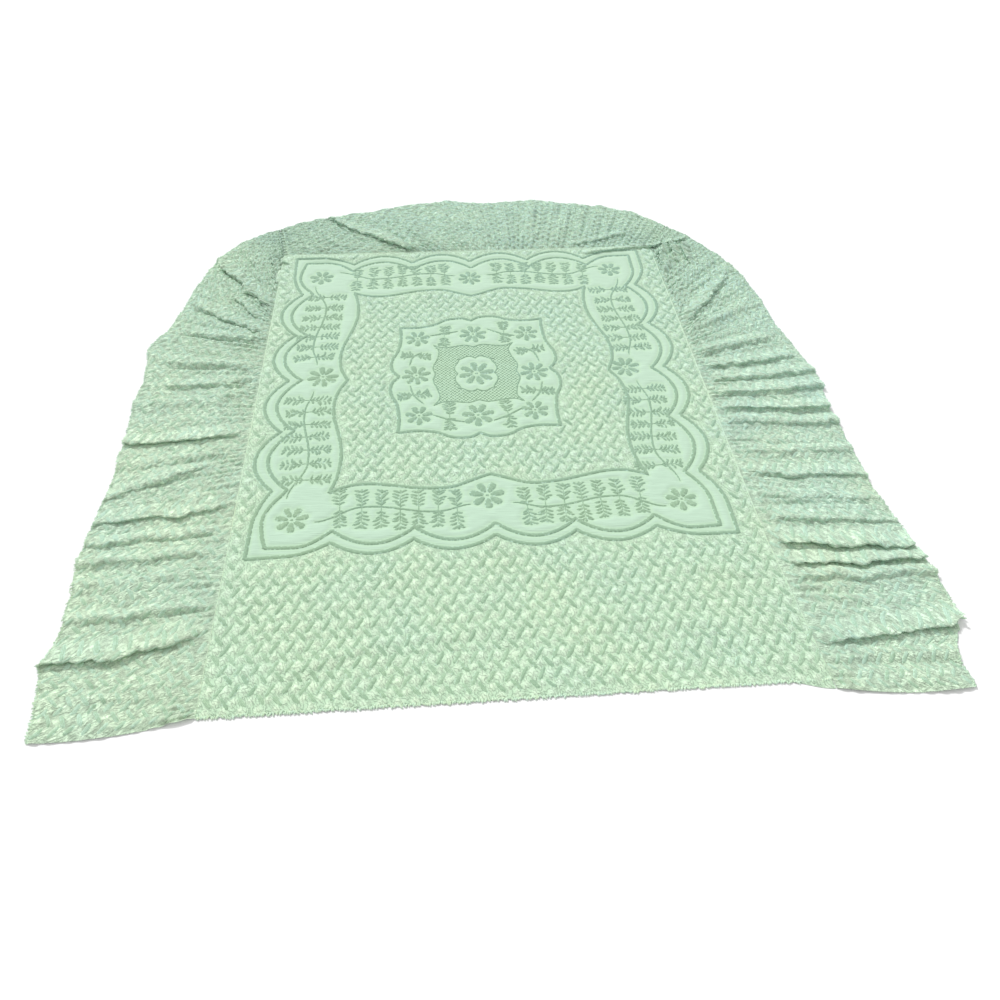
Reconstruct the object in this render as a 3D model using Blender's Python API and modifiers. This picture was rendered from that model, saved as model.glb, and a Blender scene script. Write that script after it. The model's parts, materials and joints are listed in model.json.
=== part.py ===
"""Chenille bedspread laid out on a flat surface.

A centre panel lies flat, and a gathered flounce is sewn to its two sides and its foot. The flounce is cut in
three lengths, which meet in the deep folds at the two foot corners.

Metres, +Z up. X runs across the bedspread and Y from its head edge to its foot. Everything is first laid out
from the panel's head-left corner, and then moved so that the origin is under the middle of the whole spread.
"""

import bpy
import numpy as np

# Driving dimensions
PANEL_WIDTH = 1.447           # between the side seams, at the foot
PANEL_LENGTH = 1.93           # from the panel's corner, where "along" starts, to the foot seam
HEAD_EDGE = -0.006            # the head edge's pile stands out past that corner
HEAD_SPREAD = 0.051           # how much wider the panel lies at its head
HEAD_DIP = 0.030              # its head-right corner is pulled this far out of square
DIP_START = 1.38              # across the head edge, where that pull begins
SPREAD_END = 0.42             # up the right seam, where the panel is nearly down to its width
SPREAD_LEFT = 0.020           # and how much wider it still is there
CLOTH = 0.0025                # weave and pile together
SEWN_GAP = 0.0003             # between two pieces that are sewn together

# Where the hems of two lengths of flounce meet, across and up from the panel's corner
LEFT_JOIN_ACROSS = -0.036
LEFT_JOIN_UP = 2.126
RIGHT_JOIN_ACROSS = 1.547
RIGHT_JOIN_UP = 2.085

# Flounce
FOLD_RISE = 0.16              # shares of a fold's run where it is fully risen,
FOLD_FADE = 0.85              # where it starts to die away
FOLD_END = 1.15               # and where it is gone
HEADING = 0.006               # flat strip that the seam takes up
GATHER_RISE = 0.060           # from the seam out to where folds reach their height
JOIN_FLAT = 0.022             # flat at a join between two lengths
JOIN_RISE = 0.075             # from a join to where folds reach their height
END_BOW = 0.013               # a free end bows this far towards the head
END_BOW_REACH = 0.12          # and the bow fades out along the flounce in this length
WAVE_PITCH = 0.088            # soft waves between the named folds
WAVE_HEIGHT = 0.006
COLUMN_PITCH = 0.018          # spacing of the columns of faces along a flounce
ROWS = (0.0, 0.016, 0.20, 0.45, 0.72, 1.0)  # seam to hem, as shares of its depth

# Colours of the dyed cotton, linear
PANEL_GREEN = (0.50, 0.69, 0.50, 1.0)
FLOUNCE_GREEN = (0.45, 0.64, 0.46, 1.0)
PILE_ROUGHNESS = 0.95

# Ribs across each flounce, from head to foot, or from left to right at the foot. "along" is measured along
# the seam's side of the panel, and "out" away from it.
RIB_COLUMNS = ("seam_along", "hem_along", "hem_out")
LEFT_RIBS = (
    (-0.006, -0.042, 0.363),
    (0.053, 0.043, 0.367),
    (0.148, 0.128, 0.381),
    (0.205, 0.162, 0.395),
    (0.250, 0.215, 0.373),
    (0.373, 0.353, 0.375),
    (0.523, 0.503, 0.383),
    (0.636, 0.601, 0.377),
    (0.773, 0.713, 0.367),
    (0.931, 0.916, 0.371),
    (1.073, 1.093, 0.379),
    (1.193, 1.223, 0.375),
    (1.303, 1.383, 0.388),
    (1.373, 1.470, 0.347),
    (1.443, 1.583, 0.321),
    (1.523, 1.763, 0.291),
    (1.597, 1.921, 0.241),
    (1.723, 2.035, 0.169),
    (1.833, 2.095, 0.091),
    (PANEL_LENGTH, LEFT_JOIN_UP, SEWN_GAP - LEFT_JOIN_ACROSS),
)
FOOT_RIBS = (
    (0.000, LEFT_JOIN_ACROSS, LEFT_JOIN_UP - PANEL_LENGTH),
    (0.200, 0.052, 0.245),
    (0.350, 0.122, 0.267),
    (0.500, 0.205, 0.292),
    (0.600, 0.332, 0.322),
    (0.690, 0.492, 0.369),
    (0.750, 0.632, 0.392),
    (0.850, 0.822, 0.371),
    (0.950, 1.006, 0.387),
    (1.072, 1.152, 0.354),
    (1.200, 1.302, 0.322),
    (1.330, 1.450, 0.249),
    (PANEL_WIDTH, RIGHT_JOIN_ACROSS, RIGHT_JOIN_UP - PANEL_LENGTH),
)
RIGHT_RIBS = (
    (-0.030, -0.050, 0.390),
    (0.053, 0.043, 0.386),
    (0.113, 0.128, 0.427),
    (0.273, 0.273, 0.434),
    (0.420, 0.393, 0.418),
    (0.553, 0.523, 0.398),
    (0.683, 0.653, 0.389),
    (0.813, 0.803, 0.389),
    (0.943, 0.943, 0.384),
    (1.073, 1.093, 0.398),
    (1.173, 1.233, 0.379),
    (1.253, 1.385, 0.352),
    (1.353, 1.545, 0.340),
    (1.448, 1.685, 0.320),
    (1.523, 1.765, 0.295),
    (1.623, 1.872, 0.252),
    (1.773, 1.984, 0.180),
    (PANEL_LENGTH, RIGHT_JOIN_UP, RIGHT_JOIN_ACROSS - PANEL_WIDTH + SEWN_GAP),
)

# Main folds, each a soft ridge from its inner end towards the hem, along and out as for the ribs. "half" is
# half its width, "lean" how far its crest lies over, positive towards the foot or to the right.
FOLD_COLUMNS = ("in_along", "in_out", "end_along", "end_out", "half", "height", "lean")
LEFT_FOLDS = (
    (0.075, 0.050, 0.057, 0.440, 0.040, 0.007, 0.000),
    (0.225, 0.020, 0.173, 0.484, 0.043, 0.016, -0.013),
    (0.300, 0.020, 0.282, 0.362, 0.034, 0.011, -0.002),
    (0.390, 0.030, 0.372, 0.469, 0.040, 0.009, 0.002),
    (0.475, 0.030, 0.459, 0.469, 0.034, 0.011, -0.003),
    (0.548, 0.020, 0.528, 0.471, 0.034, 0.012, -0.004),
    (0.645, 0.010, 0.605, 0.468, 0.037, 0.013, -0.009),
    (0.800, 0.100, 0.666, 0.442, 0.036, 0.012, -0.006),
    (0.860, 0.020, 0.787, 0.459, 0.045, 0.009, -0.002),
    (0.938, 0.020, 0.918, 0.459, 0.032, 0.015, -0.010),
    (1.100, 0.030, 1.063, 0.463, 0.045, 0.011, 0.000),
    (1.185, 0.020, 1.177, 0.308, 0.040, 0.011, -0.005),
    (1.262, 0.020, 1.284, 0.316, 0.043, 0.013, -0.004),
    (1.400, 0.020, 1.460, 0.300, 0.045, 0.013, -0.006),
    (1.445, 0.010, 1.617, 0.274, 0.040, 0.012, -0.008),
    (1.578, -0.010, 1.905, 0.228, 0.030, 0.017, -0.011),
    (1.530, 0.045, 1.655, 0.135, 0.022, 0.010, -0.005),
    (1.760, 0.060, 1.900, 0.110, 0.030, 0.007, -0.002),
)
FOOT_FOLDS = (
    (0.160, 0.030, 0.075, 0.200, 0.034, 0.009, 0.002),
    (0.520, 0.010, 0.170, 0.285, 0.036, 0.018, -0.011),
    (0.610, 0.020, 0.431, 0.300, 0.045, 0.010, -0.002),
    (0.700, 0.020, 0.581, 0.343, 0.043, 0.009, 0.000),
    (0.790, 0.020, 0.739, 0.343, 0.040, 0.007, 0.000),
    (0.870, 0.020, 0.879, 0.335, 0.040, 0.009, 0.000),
    (0.960, 0.020, 1.011, 0.335, 0.043, 0.009, 0.000),
    (1.060, 0.020, 1.150, 0.300, 0.043, 0.007, 0.000),
    (1.110, 0.025, 1.360, 0.100, 0.030, 0.009, 0.004),
)
RIGHT_FOLDS = (
    (0.060, 0.060, 0.042, 0.475, 0.036, 0.009, 0.000),
    (0.110, 0.050, 0.178, 0.507, 0.036, 0.016, -0.013),
    (0.295, 0.030, 0.300, 0.522, 0.034, 0.014, -0.004),
    (0.352, 0.040, 0.358, 0.500, 0.030, 0.015, -0.010),
    (0.435, 0.030, 0.400, 0.510, 0.034, 0.017, -0.013),
    (0.505, 0.030, 0.478, 0.481, 0.034, 0.013, -0.004),
    (0.590, 0.030, 0.559, 0.481, 0.040, 0.011, -0.003),
    (0.690, 0.020, 0.653, 0.478, 0.037, 0.013, -0.008),
    (0.765, 0.030, 0.753, 0.475, 0.036, 0.010, -0.002),
    (0.905, 0.020, 0.881, 0.475, 0.039, 0.016, -0.006),
    (0.972, 0.020, 0.957, 0.471, 0.035, 0.015, -0.008),
    (1.030, 0.020, 1.062, 0.457, 0.035, 0.016, -0.006),
    (1.110, 0.020, 1.147, 0.484, 0.037, 0.014, -0.006),
    (1.185, 0.020, 1.222, 0.340, 0.039, 0.016, -0.008),
    (1.262, 0.020, 1.324, 0.310, 0.045, 0.016, -0.005),
    (1.355, 0.010, 1.503, 0.282, 0.045, 0.013, 0.003),
    (1.425, 0.015, 1.690, 0.225, 0.036, 0.015, -0.007),
    (1.580, 0.010, 1.812, 0.210, 0.036, 0.007, 0.002),
    (1.740, 0.010, 1.940, 0.146, 0.034, 0.009, 0.003),
)


def ramp(start, end, value):
    """0 up to start, 1 from end on, and smooth between."""
    share = np.clip((value - start) / (end - start), 0.0, 1.0)
    return share * share * (3.0 - 2.0 * share)


def straight_seam(along):
    """The left and foot seams run along the panel's sides."""
    return np.zeros_like(along)


def right_seam(along):
    """How far out the right seam runs past the panel's width at the foot."""
    return np.interp(along, (-HEAD_DIP, SPREAD_END, PANEL_LENGTH), (HEAD_SPREAD, SPREAD_LEFT, 0.0))


def left_side(along, out):
    """A place given along and out from the left seam, as X and Y."""
    return -out, along


def foot_side(along, out):
    return along, PANEL_LENGTH + out


def right_side(along, out):
    return PANEL_WIDTH + out, along


def through(rows, stations, wanted):
    """Values at the wanted stations on smooth curves through the rows, which lie at the given stations."""
    slopes = np.gradient(rows, stations, axis=0)
    index = np.clip(np.searchsorted(stations, wanted, side="right") - 1, 0, len(stations) - 2)
    span = (stations[index + 1] - stations[index])[:, None]
    share = ((wanted - stations[index]))[:, None] / span
    start_weight = (1.0 + 2.0 * share) * (1.0 - share) ** 2
    end_weight = share**2 * (3.0 - 2.0 * share)
    bend = share * (1.0 - share) * ((1.0 - share) * slopes[index] - share * slopes[index + 1]) * span
    return start_weight * rows[index] + end_weight * rows[index + 1] + bend


def fold_shift(folds, along, out):
    """How far the folds move cloth that would lie flat here: along, out and up."""
    shift = np.zeros((3,) + along.shape)
    for row in folds:
        fold = dict(zip(FOLD_COLUMNS, row))
        run = np.array((fold["end_along"] - fold["in_along"], fold["end_out"] - fold["in_out"]))
        length = np.hypot(*run)
        run /= length
        from_start = (along - fold["in_along"]) * run[0] + (out - fold["in_out"]) * run[1]
        beside = (along - fold["in_along"]) * run[1] - (out - fold["in_out"]) * run[0]
        across = 0.5 + 0.5 * np.cos(np.pi * np.clip(beside / fold["half"], -1.0, 1.0))
        share = from_start / length
        ridge = across * ramp(-0.1, FOLD_RISE, share) * (1.0 - ramp(FOLD_FADE, FOLD_END, share))
        shift[0] += ridge * fold["lean"] * run[1]
        shift[1] -= ridge * fold["lean"] * run[0]
        shift[2] += ridge * fold["height"]
    return shift


def material(name, colour):
    """Matt dyed cotton."""
    cotton = bpy.data.materials.new(name)
    cotton.use_nodes = True
    shader = cotton.node_tree.nodes["Principled BSDF"]
    shader.inputs["Base Color"].default_value = colour
    shader.inputs["Roughness"].default_value = PILE_ROUGHNESS
    shader.inputs["Metallic"].default_value = 0.0
    return cotton


def place_in(collection, piece):
    for home in piece.users_collection:
        home.objects.unlink(piece)
    collection.objects.link(piece)


def make_panel(collection):
    """The flat centre panel, a filled outline as thick as the cloth."""
    outline = (
        (0.0, HEAD_EDGE),
        (DIP_START, HEAD_EDGE),
        (PANEL_WIDTH + HEAD_SPREAD, -HEAD_DIP),
        (PANEL_WIDTH + SPREAD_LEFT, SPREAD_END),
        (PANEL_WIDTH, PANEL_LENGTH),
        (0.0, PANEL_LENGTH),
    )
    curve = bpy.data.curves.new("centre_panel", "CURVE")
    curve.dimensions = "2D"
    curve.fill_mode = "BOTH"
    curve.extrude = CLOTH / 2
    spline = curve.splines.new("POLY")
    spline.points.add(len(outline) - 1)
    for point, (x, y) in zip(spline.points, outline):
        point.co = (x, y, 0.0, 1.0)
    spline.use_cyclic_u = True
    panel = bpy.data.objects.new("centre_panel", curve)
    panel.location.z = CLOTH / 2
    panel.data.materials.append(material("figured_chenille", PANEL_GREEN))
    collection.objects.link(panel)
    return panel


def make_flounce(collection, name, ribs, folds, side, seam, joins):
    """One gathered length: a grid laid rib by rib from seam to hem, raised into its folds, and thickened.

    joins says whether its start and its end are joined to the next length; a start that isn't is free."""
    rows = np.array(ribs)
    seam_steps = np.diff(rows[:, 0])
    hem_steps = np.hypot(*np.diff(rows[:, 1:3], axis=0).T)
    stations = np.concatenate(([0.0], np.cumsum((seam_steps + hem_steps) / 2)))
    columns = round(stations[-1] / COLUMN_PITCH)
    bpy.ops.mesh.primitive_grid_add(x_subdivisions=columns, y_subdivisions=len(ROWS) - 1, size=1.0)
    flounce = bpy.context.object
    flounce.name = name
    flounce.data.name = name
    place_in(collection, flounce)

    count = len(flounce.data.vertices)
    grid = np.empty(count * 3)
    flounce.data.vertices.foreach_get("co", grid)
    grid = grid.reshape(-1, 3)
    station = (grid[:, 0] + 0.5) * stations[-1]
    depth = np.array(ROWS)[np.rint((grid[:, 1] + 0.5) * (len(ROWS) - 1)).astype(int)]

    rib = dict(zip(RIB_COLUMNS, through(rows, stations, station).T))
    seam_out = seam(rib["seam_along"]) + SEWN_GAP
    along = rib["seam_along"] + depth * (rib["hem_along"] - rib["seam_along"])
    out = seam_out + depth * (rib["hem_out"] - seam_out)
    reach = depth * np.hypot(rib["hem_along"] - rib["seam_along"], rib["hem_out"] - seam_out)

    lie = ramp(HEADING, GATHER_RISE, reach)
    if joins[0]:
        lie *= ramp(JOIN_FLAT, JOIN_RISE, station)
    if joins[1]:
        lie *= ramp(JOIN_FLAT, JOIN_RISE, stations[-1] - station)
    shift = fold_shift(folds, along, out)
    wander = 1.1 * np.sin(station / 0.21) + 0.7 * np.sin(station / 0.083 + 1.0)
    shift[2] += WAVE_HEIGHT * (0.5 + 0.5 * np.sin(2 * np.pi * station / WAVE_PITCH + wander))
    along += lie * shift[0]
    out += lie * shift[1]
    if not joins[0]:
        along -= 4 * END_BOW * depth * (1 - depth) * (1 - ramp(0.0, END_BOW_REACH, station))

    x, y = side(along, out)
    flounce.data.vertices.foreach_set("co", np.column_stack((x, y, lie * shift[2])).ravel())
    flounce.data.update()
    if side is right_side:
        flounce.data.flip_normals()
    flounce.data.materials.append(material(name + "_chenille", FLOUNCE_GREEN))
    thickness = flounce.modifiers.new("cloth", "SOLIDIFY")
    thickness.thickness = CLOTH
    thickness.offset = 1.0
    return flounce


def move_to_middle(pieces):
    """Brings the origin under the middle of the spread, on the surface it lies on."""
    bpy.context.view_layer.update()
    seen = bpy.context.evaluated_depsgraph_get()
    points = []
    for piece in pieces:
        shown = piece.evaluated_get(seen)
        mesh = shown.to_mesh()
        points += [shown.matrix_world @ vertex.co for vertex in mesh.vertices]
        shown.to_mesh_clear()
    points = np.array(points)
    low, high = points.min(axis=0), points.max(axis=0)
    for piece in pieces:
        piece.location.x -= (low[0] + high[0]) / 2
        piece.location.y -= (low[1] + high[1]) / 2
        piece.location.z -= low[2]


def main():
    for old in list(bpy.data.objects):
        bpy.data.objects.remove(old, do_unlink=True)
    collection = bpy.data.collections.new("chenille_bedspread")
    bpy.context.scene.collection.children.link(collection)
    pieces = [
        make_panel(collection),
        make_flounce(
            collection, "flounce_left", LEFT_RIBS, LEFT_FOLDS, left_side, straight_seam, (False, True)
        ),
        make_flounce(
            collection, "flounce_foot", FOOT_RIBS, FOOT_FOLDS, foot_side, straight_seam, (True, True)
        ),
        make_flounce(
            collection, "flounce_right", RIGHT_RIBS, RIGHT_FOLDS, right_side, right_seam, (False, True)
        ),
    ]
    move_to_middle(pieces)


main()
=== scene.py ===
import json
import math

import bpy
import numpy as np
from mathutils import Matrix, Vector, kdtree

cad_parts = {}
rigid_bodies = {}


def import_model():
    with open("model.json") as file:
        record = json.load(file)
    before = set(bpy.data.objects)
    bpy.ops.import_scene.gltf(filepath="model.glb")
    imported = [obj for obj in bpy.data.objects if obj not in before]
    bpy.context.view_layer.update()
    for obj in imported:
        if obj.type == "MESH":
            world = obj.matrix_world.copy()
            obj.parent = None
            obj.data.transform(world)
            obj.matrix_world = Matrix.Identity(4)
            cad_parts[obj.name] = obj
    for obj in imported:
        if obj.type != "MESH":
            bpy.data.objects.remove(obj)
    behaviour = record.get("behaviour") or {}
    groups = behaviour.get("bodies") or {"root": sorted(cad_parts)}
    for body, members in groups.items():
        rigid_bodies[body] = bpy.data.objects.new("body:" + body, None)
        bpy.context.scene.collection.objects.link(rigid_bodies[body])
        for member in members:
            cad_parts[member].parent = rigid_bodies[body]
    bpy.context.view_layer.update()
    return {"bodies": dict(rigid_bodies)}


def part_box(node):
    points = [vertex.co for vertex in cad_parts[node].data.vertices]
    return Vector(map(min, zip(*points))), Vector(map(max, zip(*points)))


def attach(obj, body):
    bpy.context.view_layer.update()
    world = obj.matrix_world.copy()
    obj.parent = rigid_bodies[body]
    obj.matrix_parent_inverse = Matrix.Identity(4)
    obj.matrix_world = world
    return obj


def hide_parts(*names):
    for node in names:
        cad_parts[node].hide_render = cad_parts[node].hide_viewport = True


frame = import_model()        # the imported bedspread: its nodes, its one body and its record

# A chenille bedspread laid out flat: a figured centre panel, and a gathered flounce in three lengths sewn to
# its two sides and its foot. Every sheet of cloth is a grid that is laid rib by rib and fold by fold, and the
# pile is tufted on to it stroke by stroke. Metres, +Z up, +X across, +Y from the head edge to the foot.

bl_info = {
    "name": "Chenille Bedspread",
    "version": (1, 0, 0),
    "blender": (4, 5, 0),
    "location": "View3D > Sidebar > Bedspread",
    "description": "Builds a chenille bedspread with a figured panel and a gathered flounce",
    "category": "Add Mesh",
}

BODY = "root" if "root" in frame["bodies"] else sorted(frame["bodies"])[0]

# The panel as it was cut. Places on it, and along and out from its seams, are measured from its head-left
# corner.
PANEL_WIDTH = 1.447
PANEL_LENGTH = 1.93
HEAD_EDGE = -0.006
HEAD_SPREAD = 0.051           # how far out the right seam runs at the head
SPREAD_END = 0.42             # how far up it has come in to SPREAD_LEFT
SPREAD_LEFT = 0.020
HEAD_DIP = 0.030              # how far the head edge dips at its right end, from DIP_START across
DIP_START = 1.38
CLOTH = 0.0025                # weave and pile together
PANEL_LOW, PANEL_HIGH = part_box("centre_panel")
CORNER = np.array((PANEL_LOW.x, PANEL_HIGH.y - PANEL_LENGTH, 0.0))

# The woven design, measured from the head-left corner of its scalloped frame
FIGURE_CORNER = np.array((0.052, 0.473))
FIGURE_WIDTH = 1.335
FIGURE_LENGTH = 1.415

# Where the joins between the three flounces meet the hem, across and up
LEFT_JOIN_ACROSS = -0.036
LEFT_JOIN_UP = 2.126
RIGHT_JOIN_ACROSS = 1.547
RIGHT_JOIN_UP = 2.085
FLOUNCE_DEPTH = 0.40          # as cut, seam to hem
FOLD_START = -0.1             # shares of a fold's run where it starts to rise,
FOLD_RISE = 0.16              # where it is fully risen
FOLD_FADE = 0.85              # where it starts to die away
FOLD_END = 1.15               # and where it is gone
FOLD_NARROWING = 0.80         # the solid's folds, sharpened to how the cloth creases
FOLD_LOWERING = 0.82
FOLD_OVERHANG = 2.85
SIDE_FULLNESS = 1.36          # length of cut cloth gathered into each length of flounce
FOOT_FULLNESS = 1.25
STROKE_EDGE = 0.005           # from a basket stroke's middle line to where the cloth starts to puff, to where it is fully puffed and to the end of the painted shade beside the stroke
PUFF_FULL = 0.0125            # to where it is fully puffed
PAINTED_SHADE_END = 0.0105           # and to the end of the shaded hollow beside the stroke
CRUSHED_PUFF = 0.42           # share of the panel's puffs left in the flounce, where it is most handled
FULL_PUFF = 1.20              # and at the foot
CRUSHED_UP = 0.9              # how far up the puffs start to recover
FULL_UP = 1.8                 # and are whole
PANEL_PAINTED_SHADE = 0.8            # how dark that painted shade is on the panel and on the flounce
FLOUNCE_PAINTED_SHADE = 0.7          # and on the flounce
PLAIN_PUFF = 0.60             # share of the puffs in the plain bands, between their figures
SEAM_HALF = 0.0020            # half the width of the seam's line, and its height
SEAM_HEIGHT = 0.0009
PILE_ROW = 0.0035             # between the fuzzy rows of a stroke
HEADING = 0.004               # flat strip that the seam takes up
GATHER_RISE = 0.055           # how far from the seam the folds are fully risen
JOIN_FLAT = 0.010             # and how far from a join they start and finish rising
JOIN_RISE = 0.060
END_BOW = 0.013               # how far the flounce's head end bows
END_BOW_REACH = 0.12          # and how far along the bow is gone

# Ribs across each flounce: where each leaves the seam, and where it meets the hem, along and out.
RIB_COLUMNS = ("seam_along", "hem_along", "hem_out")
LEFT_RIBS = (
    (-0.006, -0.042, 0.363),
    (0.053, 0.043, 0.367),
    (0.148, 0.128, 0.381),
    (0.205, 0.162, 0.395),
    (0.250, 0.215, 0.373),
    (0.373, 0.353, 0.375),
    (0.523, 0.503, 0.383),
    (0.636, 0.601, 0.377),
    (0.773, 0.713, 0.367),
    (0.931, 0.916, 0.371),
    (1.073, 1.093, 0.379),
    (1.193, 1.223, 0.375),
    (1.303, 1.383, 0.388),
    (1.373, 1.470, 0.347),
    (1.443, 1.583, 0.321),
    (1.523, 1.763, 0.291),
    (1.597, 1.921, 0.241),
    (1.723, 2.035, 0.169),
    (1.833, 2.095, 0.091),
    (PANEL_LENGTH, LEFT_JOIN_UP, -LEFT_JOIN_ACROSS),
)
FOOT_RIBS = (
    (0.000, LEFT_JOIN_ACROSS, LEFT_JOIN_UP - PANEL_LENGTH),
    (0.200, 0.052, 0.245),
    (0.350, 0.122, 0.267),
    (0.500, 0.205, 0.292),
    (0.600, 0.332, 0.322),
    (0.690, 0.492, 0.369),
    (0.750, 0.632, 0.392),
    (0.850, 0.822, 0.371),
    (0.950, 1.006, 0.387),
    (1.072, 1.152, 0.354),
    (1.200, 1.302, 0.322),
    (1.330, 1.450, 0.249),
    (PANEL_WIDTH, RIGHT_JOIN_ACROSS, RIGHT_JOIN_UP - PANEL_LENGTH),
)
RIGHT_RIBS = (
    (-0.030, -0.050, 0.390),
    (0.053, 0.043, 0.386),
    (0.113, 0.128, 0.427),
    (0.273, 0.273, 0.434),
    (0.420, 0.393, 0.418),
    (0.553, 0.523, 0.398),
    (0.683, 0.653, 0.389),
    (0.813, 0.803, 0.389),
    (0.943, 0.943, 0.384),
    (1.073, 1.093, 0.398),
    (1.173, 1.233, 0.379),
    (1.253, 1.385, 0.352),
    (1.353, 1.545, 0.340),
    (1.448, 1.685, 0.320),
    (1.523, 1.765, 0.295),
    (1.623, 1.872, 0.252),
    (1.773, 1.984, 0.180),
    (PANEL_LENGTH, RIGHT_JOIN_UP, RIGHT_JOIN_ACROSS - PANEL_WIDTH),
)

# Main folds and creases: each a soft ridge from its inner end towards the hem, along and out. "half" is half
# its width, and "lean" how far its crest lies over, positive towards the foot or to the right.
FOLD_COLUMNS = ("in_along", "in_out", "end_along", "end_out", "half", "height", "lean")
LEFT_FOLDS = (
    (0.075, 0.050, 0.057, 0.440, 0.040, 0.007, 0.000),
    (0.225, 0.020, 0.173, 0.484, 0.043, 0.016, -0.013),
    (0.300, 0.020, 0.282, 0.362, 0.034, 0.011, -0.002),
    (0.390, 0.030, 0.372, 0.469, 0.040, 0.009, 0.002),
    (0.475, 0.030, 0.459, 0.469, 0.034, 0.011, -0.003),
    (0.548, 0.020, 0.528, 0.471, 0.034, 0.012, -0.004),
    (0.645, 0.010, 0.605, 0.468, 0.037, 0.013, -0.009),
    (0.800, 0.100, 0.666, 0.442, 0.036, 0.012, -0.006),
    (0.860, 0.020, 0.787, 0.459, 0.045, 0.009, -0.002),
    (0.938, 0.020, 0.918, 0.459, 0.032, 0.015, -0.010),
    (1.100, 0.030, 1.063, 0.463, 0.045, 0.011, 0.000),
    (1.185, 0.020, 1.177, 0.308, 0.040, 0.011, -0.005),
    (1.262, 0.020, 1.284, 0.316, 0.043, 0.013, -0.004),
    (1.400, 0.020, 1.460, 0.300, 0.045, 0.013, -0.006),
    (1.445, 0.010, 1.617, 0.274, 0.040, 0.012, -0.008),
    (1.578, -0.010, 1.905, 0.228, 0.030, 0.017, -0.011),
    (1.530, 0.045, 1.655, 0.135, 0.022, 0.010, -0.005),
    (1.760, 0.060, 1.900, 0.110, 0.030, 0.007, -0.002),
)
FOOT_FOLDS = (
    (0.160, 0.030, 0.075, 0.200, 0.034, 0.009, 0.002),
    (0.520, 0.010, 0.170, 0.285, 0.036, 0.018, -0.011),
    (0.610, 0.020, 0.431, 0.300, 0.045, 0.010, -0.002),
    (0.700, 0.020, 0.581, 0.343, 0.043, 0.009, 0.000),
    (0.790, 0.020, 0.739, 0.343, 0.040, 0.007, 0.000),
    (0.870, 0.020, 0.879, 0.335, 0.040, 0.009, 0.000),
    (0.960, 0.020, 1.011, 0.335, 0.043, 0.009, 0.000),
    (1.060, 0.020, 1.150, 0.300, 0.043, 0.007, 0.000),
    (1.110, 0.025, 1.360, 0.100, 0.030, 0.009, 0.004),
)
RIGHT_FOLDS = (
    (0.060, 0.060, 0.042, 0.475, 0.036, 0.009, 0.000),
    (0.110, 0.050, 0.178, 0.507, 0.036, 0.016, -0.013),
    (0.295, 0.030, 0.300, 0.522, 0.034, 0.014, -0.004),
    (0.352, 0.040, 0.358, 0.500, 0.030, 0.015, -0.010),
    (0.435, 0.030, 0.400, 0.510, 0.034, 0.017, -0.013),
    (0.505, 0.030, 0.478, 0.481, 0.034, 0.013, -0.004),
    (0.590, 0.030, 0.559, 0.481, 0.040, 0.011, -0.003),
    (0.690, 0.020, 0.653, 0.478, 0.037, 0.013, -0.008),
    (0.765, 0.030, 0.753, 0.475, 0.036, 0.010, -0.002),
    (0.905, 0.020, 0.881, 0.475, 0.039, 0.016, -0.006),
    (0.972, 0.020, 0.957, 0.471, 0.035, 0.015, -0.008),
    (1.030, 0.020, 1.062, 0.457, 0.035, 0.016, -0.006),
    (1.110, 0.020, 1.147, 0.484, 0.037, 0.014, -0.006),
    (1.185, 0.020, 1.222, 0.340, 0.039, 0.016, -0.008),
    (1.262, 0.020, 1.324, 0.310, 0.045, 0.016, -0.005),
    (1.355, 0.010, 1.503, 0.282, 0.045, 0.013, 0.003),
    (1.425, 0.015, 1.690, 0.225, 0.036, 0.015, -0.007),
    (1.580, 0.010, 1.812, 0.210, 0.036, 0.007, 0.002),
    (1.740, 0.010, 1.940, 0.146, 0.034, 0.009, 0.003),
)

# Creases that run over the panel and its seams, in the same columns but across and up from the panel's corner
CREASES = (
    (0.180, 0.100, 0.460, 0.170, 0.030, 0.0040, 0.000),
    (0.500, 0.170, 0.780, 0.200, 0.028, 0.0035, 0.000),
    (0.020, 0.300, 0.220, 0.330, 0.030, 0.0030, 0.000),
    (0.950, 0.220, 1.300, 0.160, 0.030, 0.0030, 0.000),
    (1.200, 0.360, 1.420, 0.300, 0.028, 0.0035, 0.000),
    (0.040, 1.915, 0.300, 1.900, 0.030, 0.0060, 0.006),
    (1.170, 1.902, 1.470, 1.943, 0.019, 0.0100, 0.013),
    (1.440, 1.933, 1.600, 1.984, 0.015, 0.0095, 0.014),
    (1.556, 1.950, 1.540, 1.820, 0.0125, 0.0140, 0.022),
    (1.598, 1.940, 1.590, 1.810, 0.0125, 0.0140, 0.022),
    (1.522, 1.930, 1.475, 1.800, 0.0130, 0.0130, 0.019),
    (1.500, 1.810, 1.452, 1.690, 0.013, 0.0100, 0.008),
    (0.015, 1.730, -0.045, 1.940, 0.016, 0.0100, -0.014),
    (0.030, 1.865, -0.040, 1.945, 0.014, 0.0080, -0.010),
)

# Gathers, fine at the seam and running together below it: how far apart and how high they are, and how far
# down they start, are full, start to fade and end
GATHER_COLUMNS = ("pitch", "height", "start", "full", "fade", "end")
GATHERS = (
    (0.022, 0.0040, 0.000, 0.012, 0.05, 0.17),
    (0.037, 0.0044, 0.010, 0.050, 0.12, 0.32),
    (0.061, 0.0046, 0.050, 0.130, 0.30, 0.46),
    (0.098, 0.0052, 0.120, 0.260, 0.50, 0.60),
)


def linear(hex_colour):
    """An sRGB hex colour as linear red, green, blue."""
    parts = [int(hex_colour[i : i + 2], 16) / 255 for i in (1, 3, 5)]
    return tuple(p / 12.92 if p <= 0.04045 else ((p + 0.055) / 1.055) ** 2.4 for p in parts)


def ramp(start, end, value):
    """0 up to start, 1 from end on, and smooth between."""
    share = np.clip((value - start) / (end - start), 0.0, 1.0)
    return share * share * (3.0 - 2.0 * share)


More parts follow.
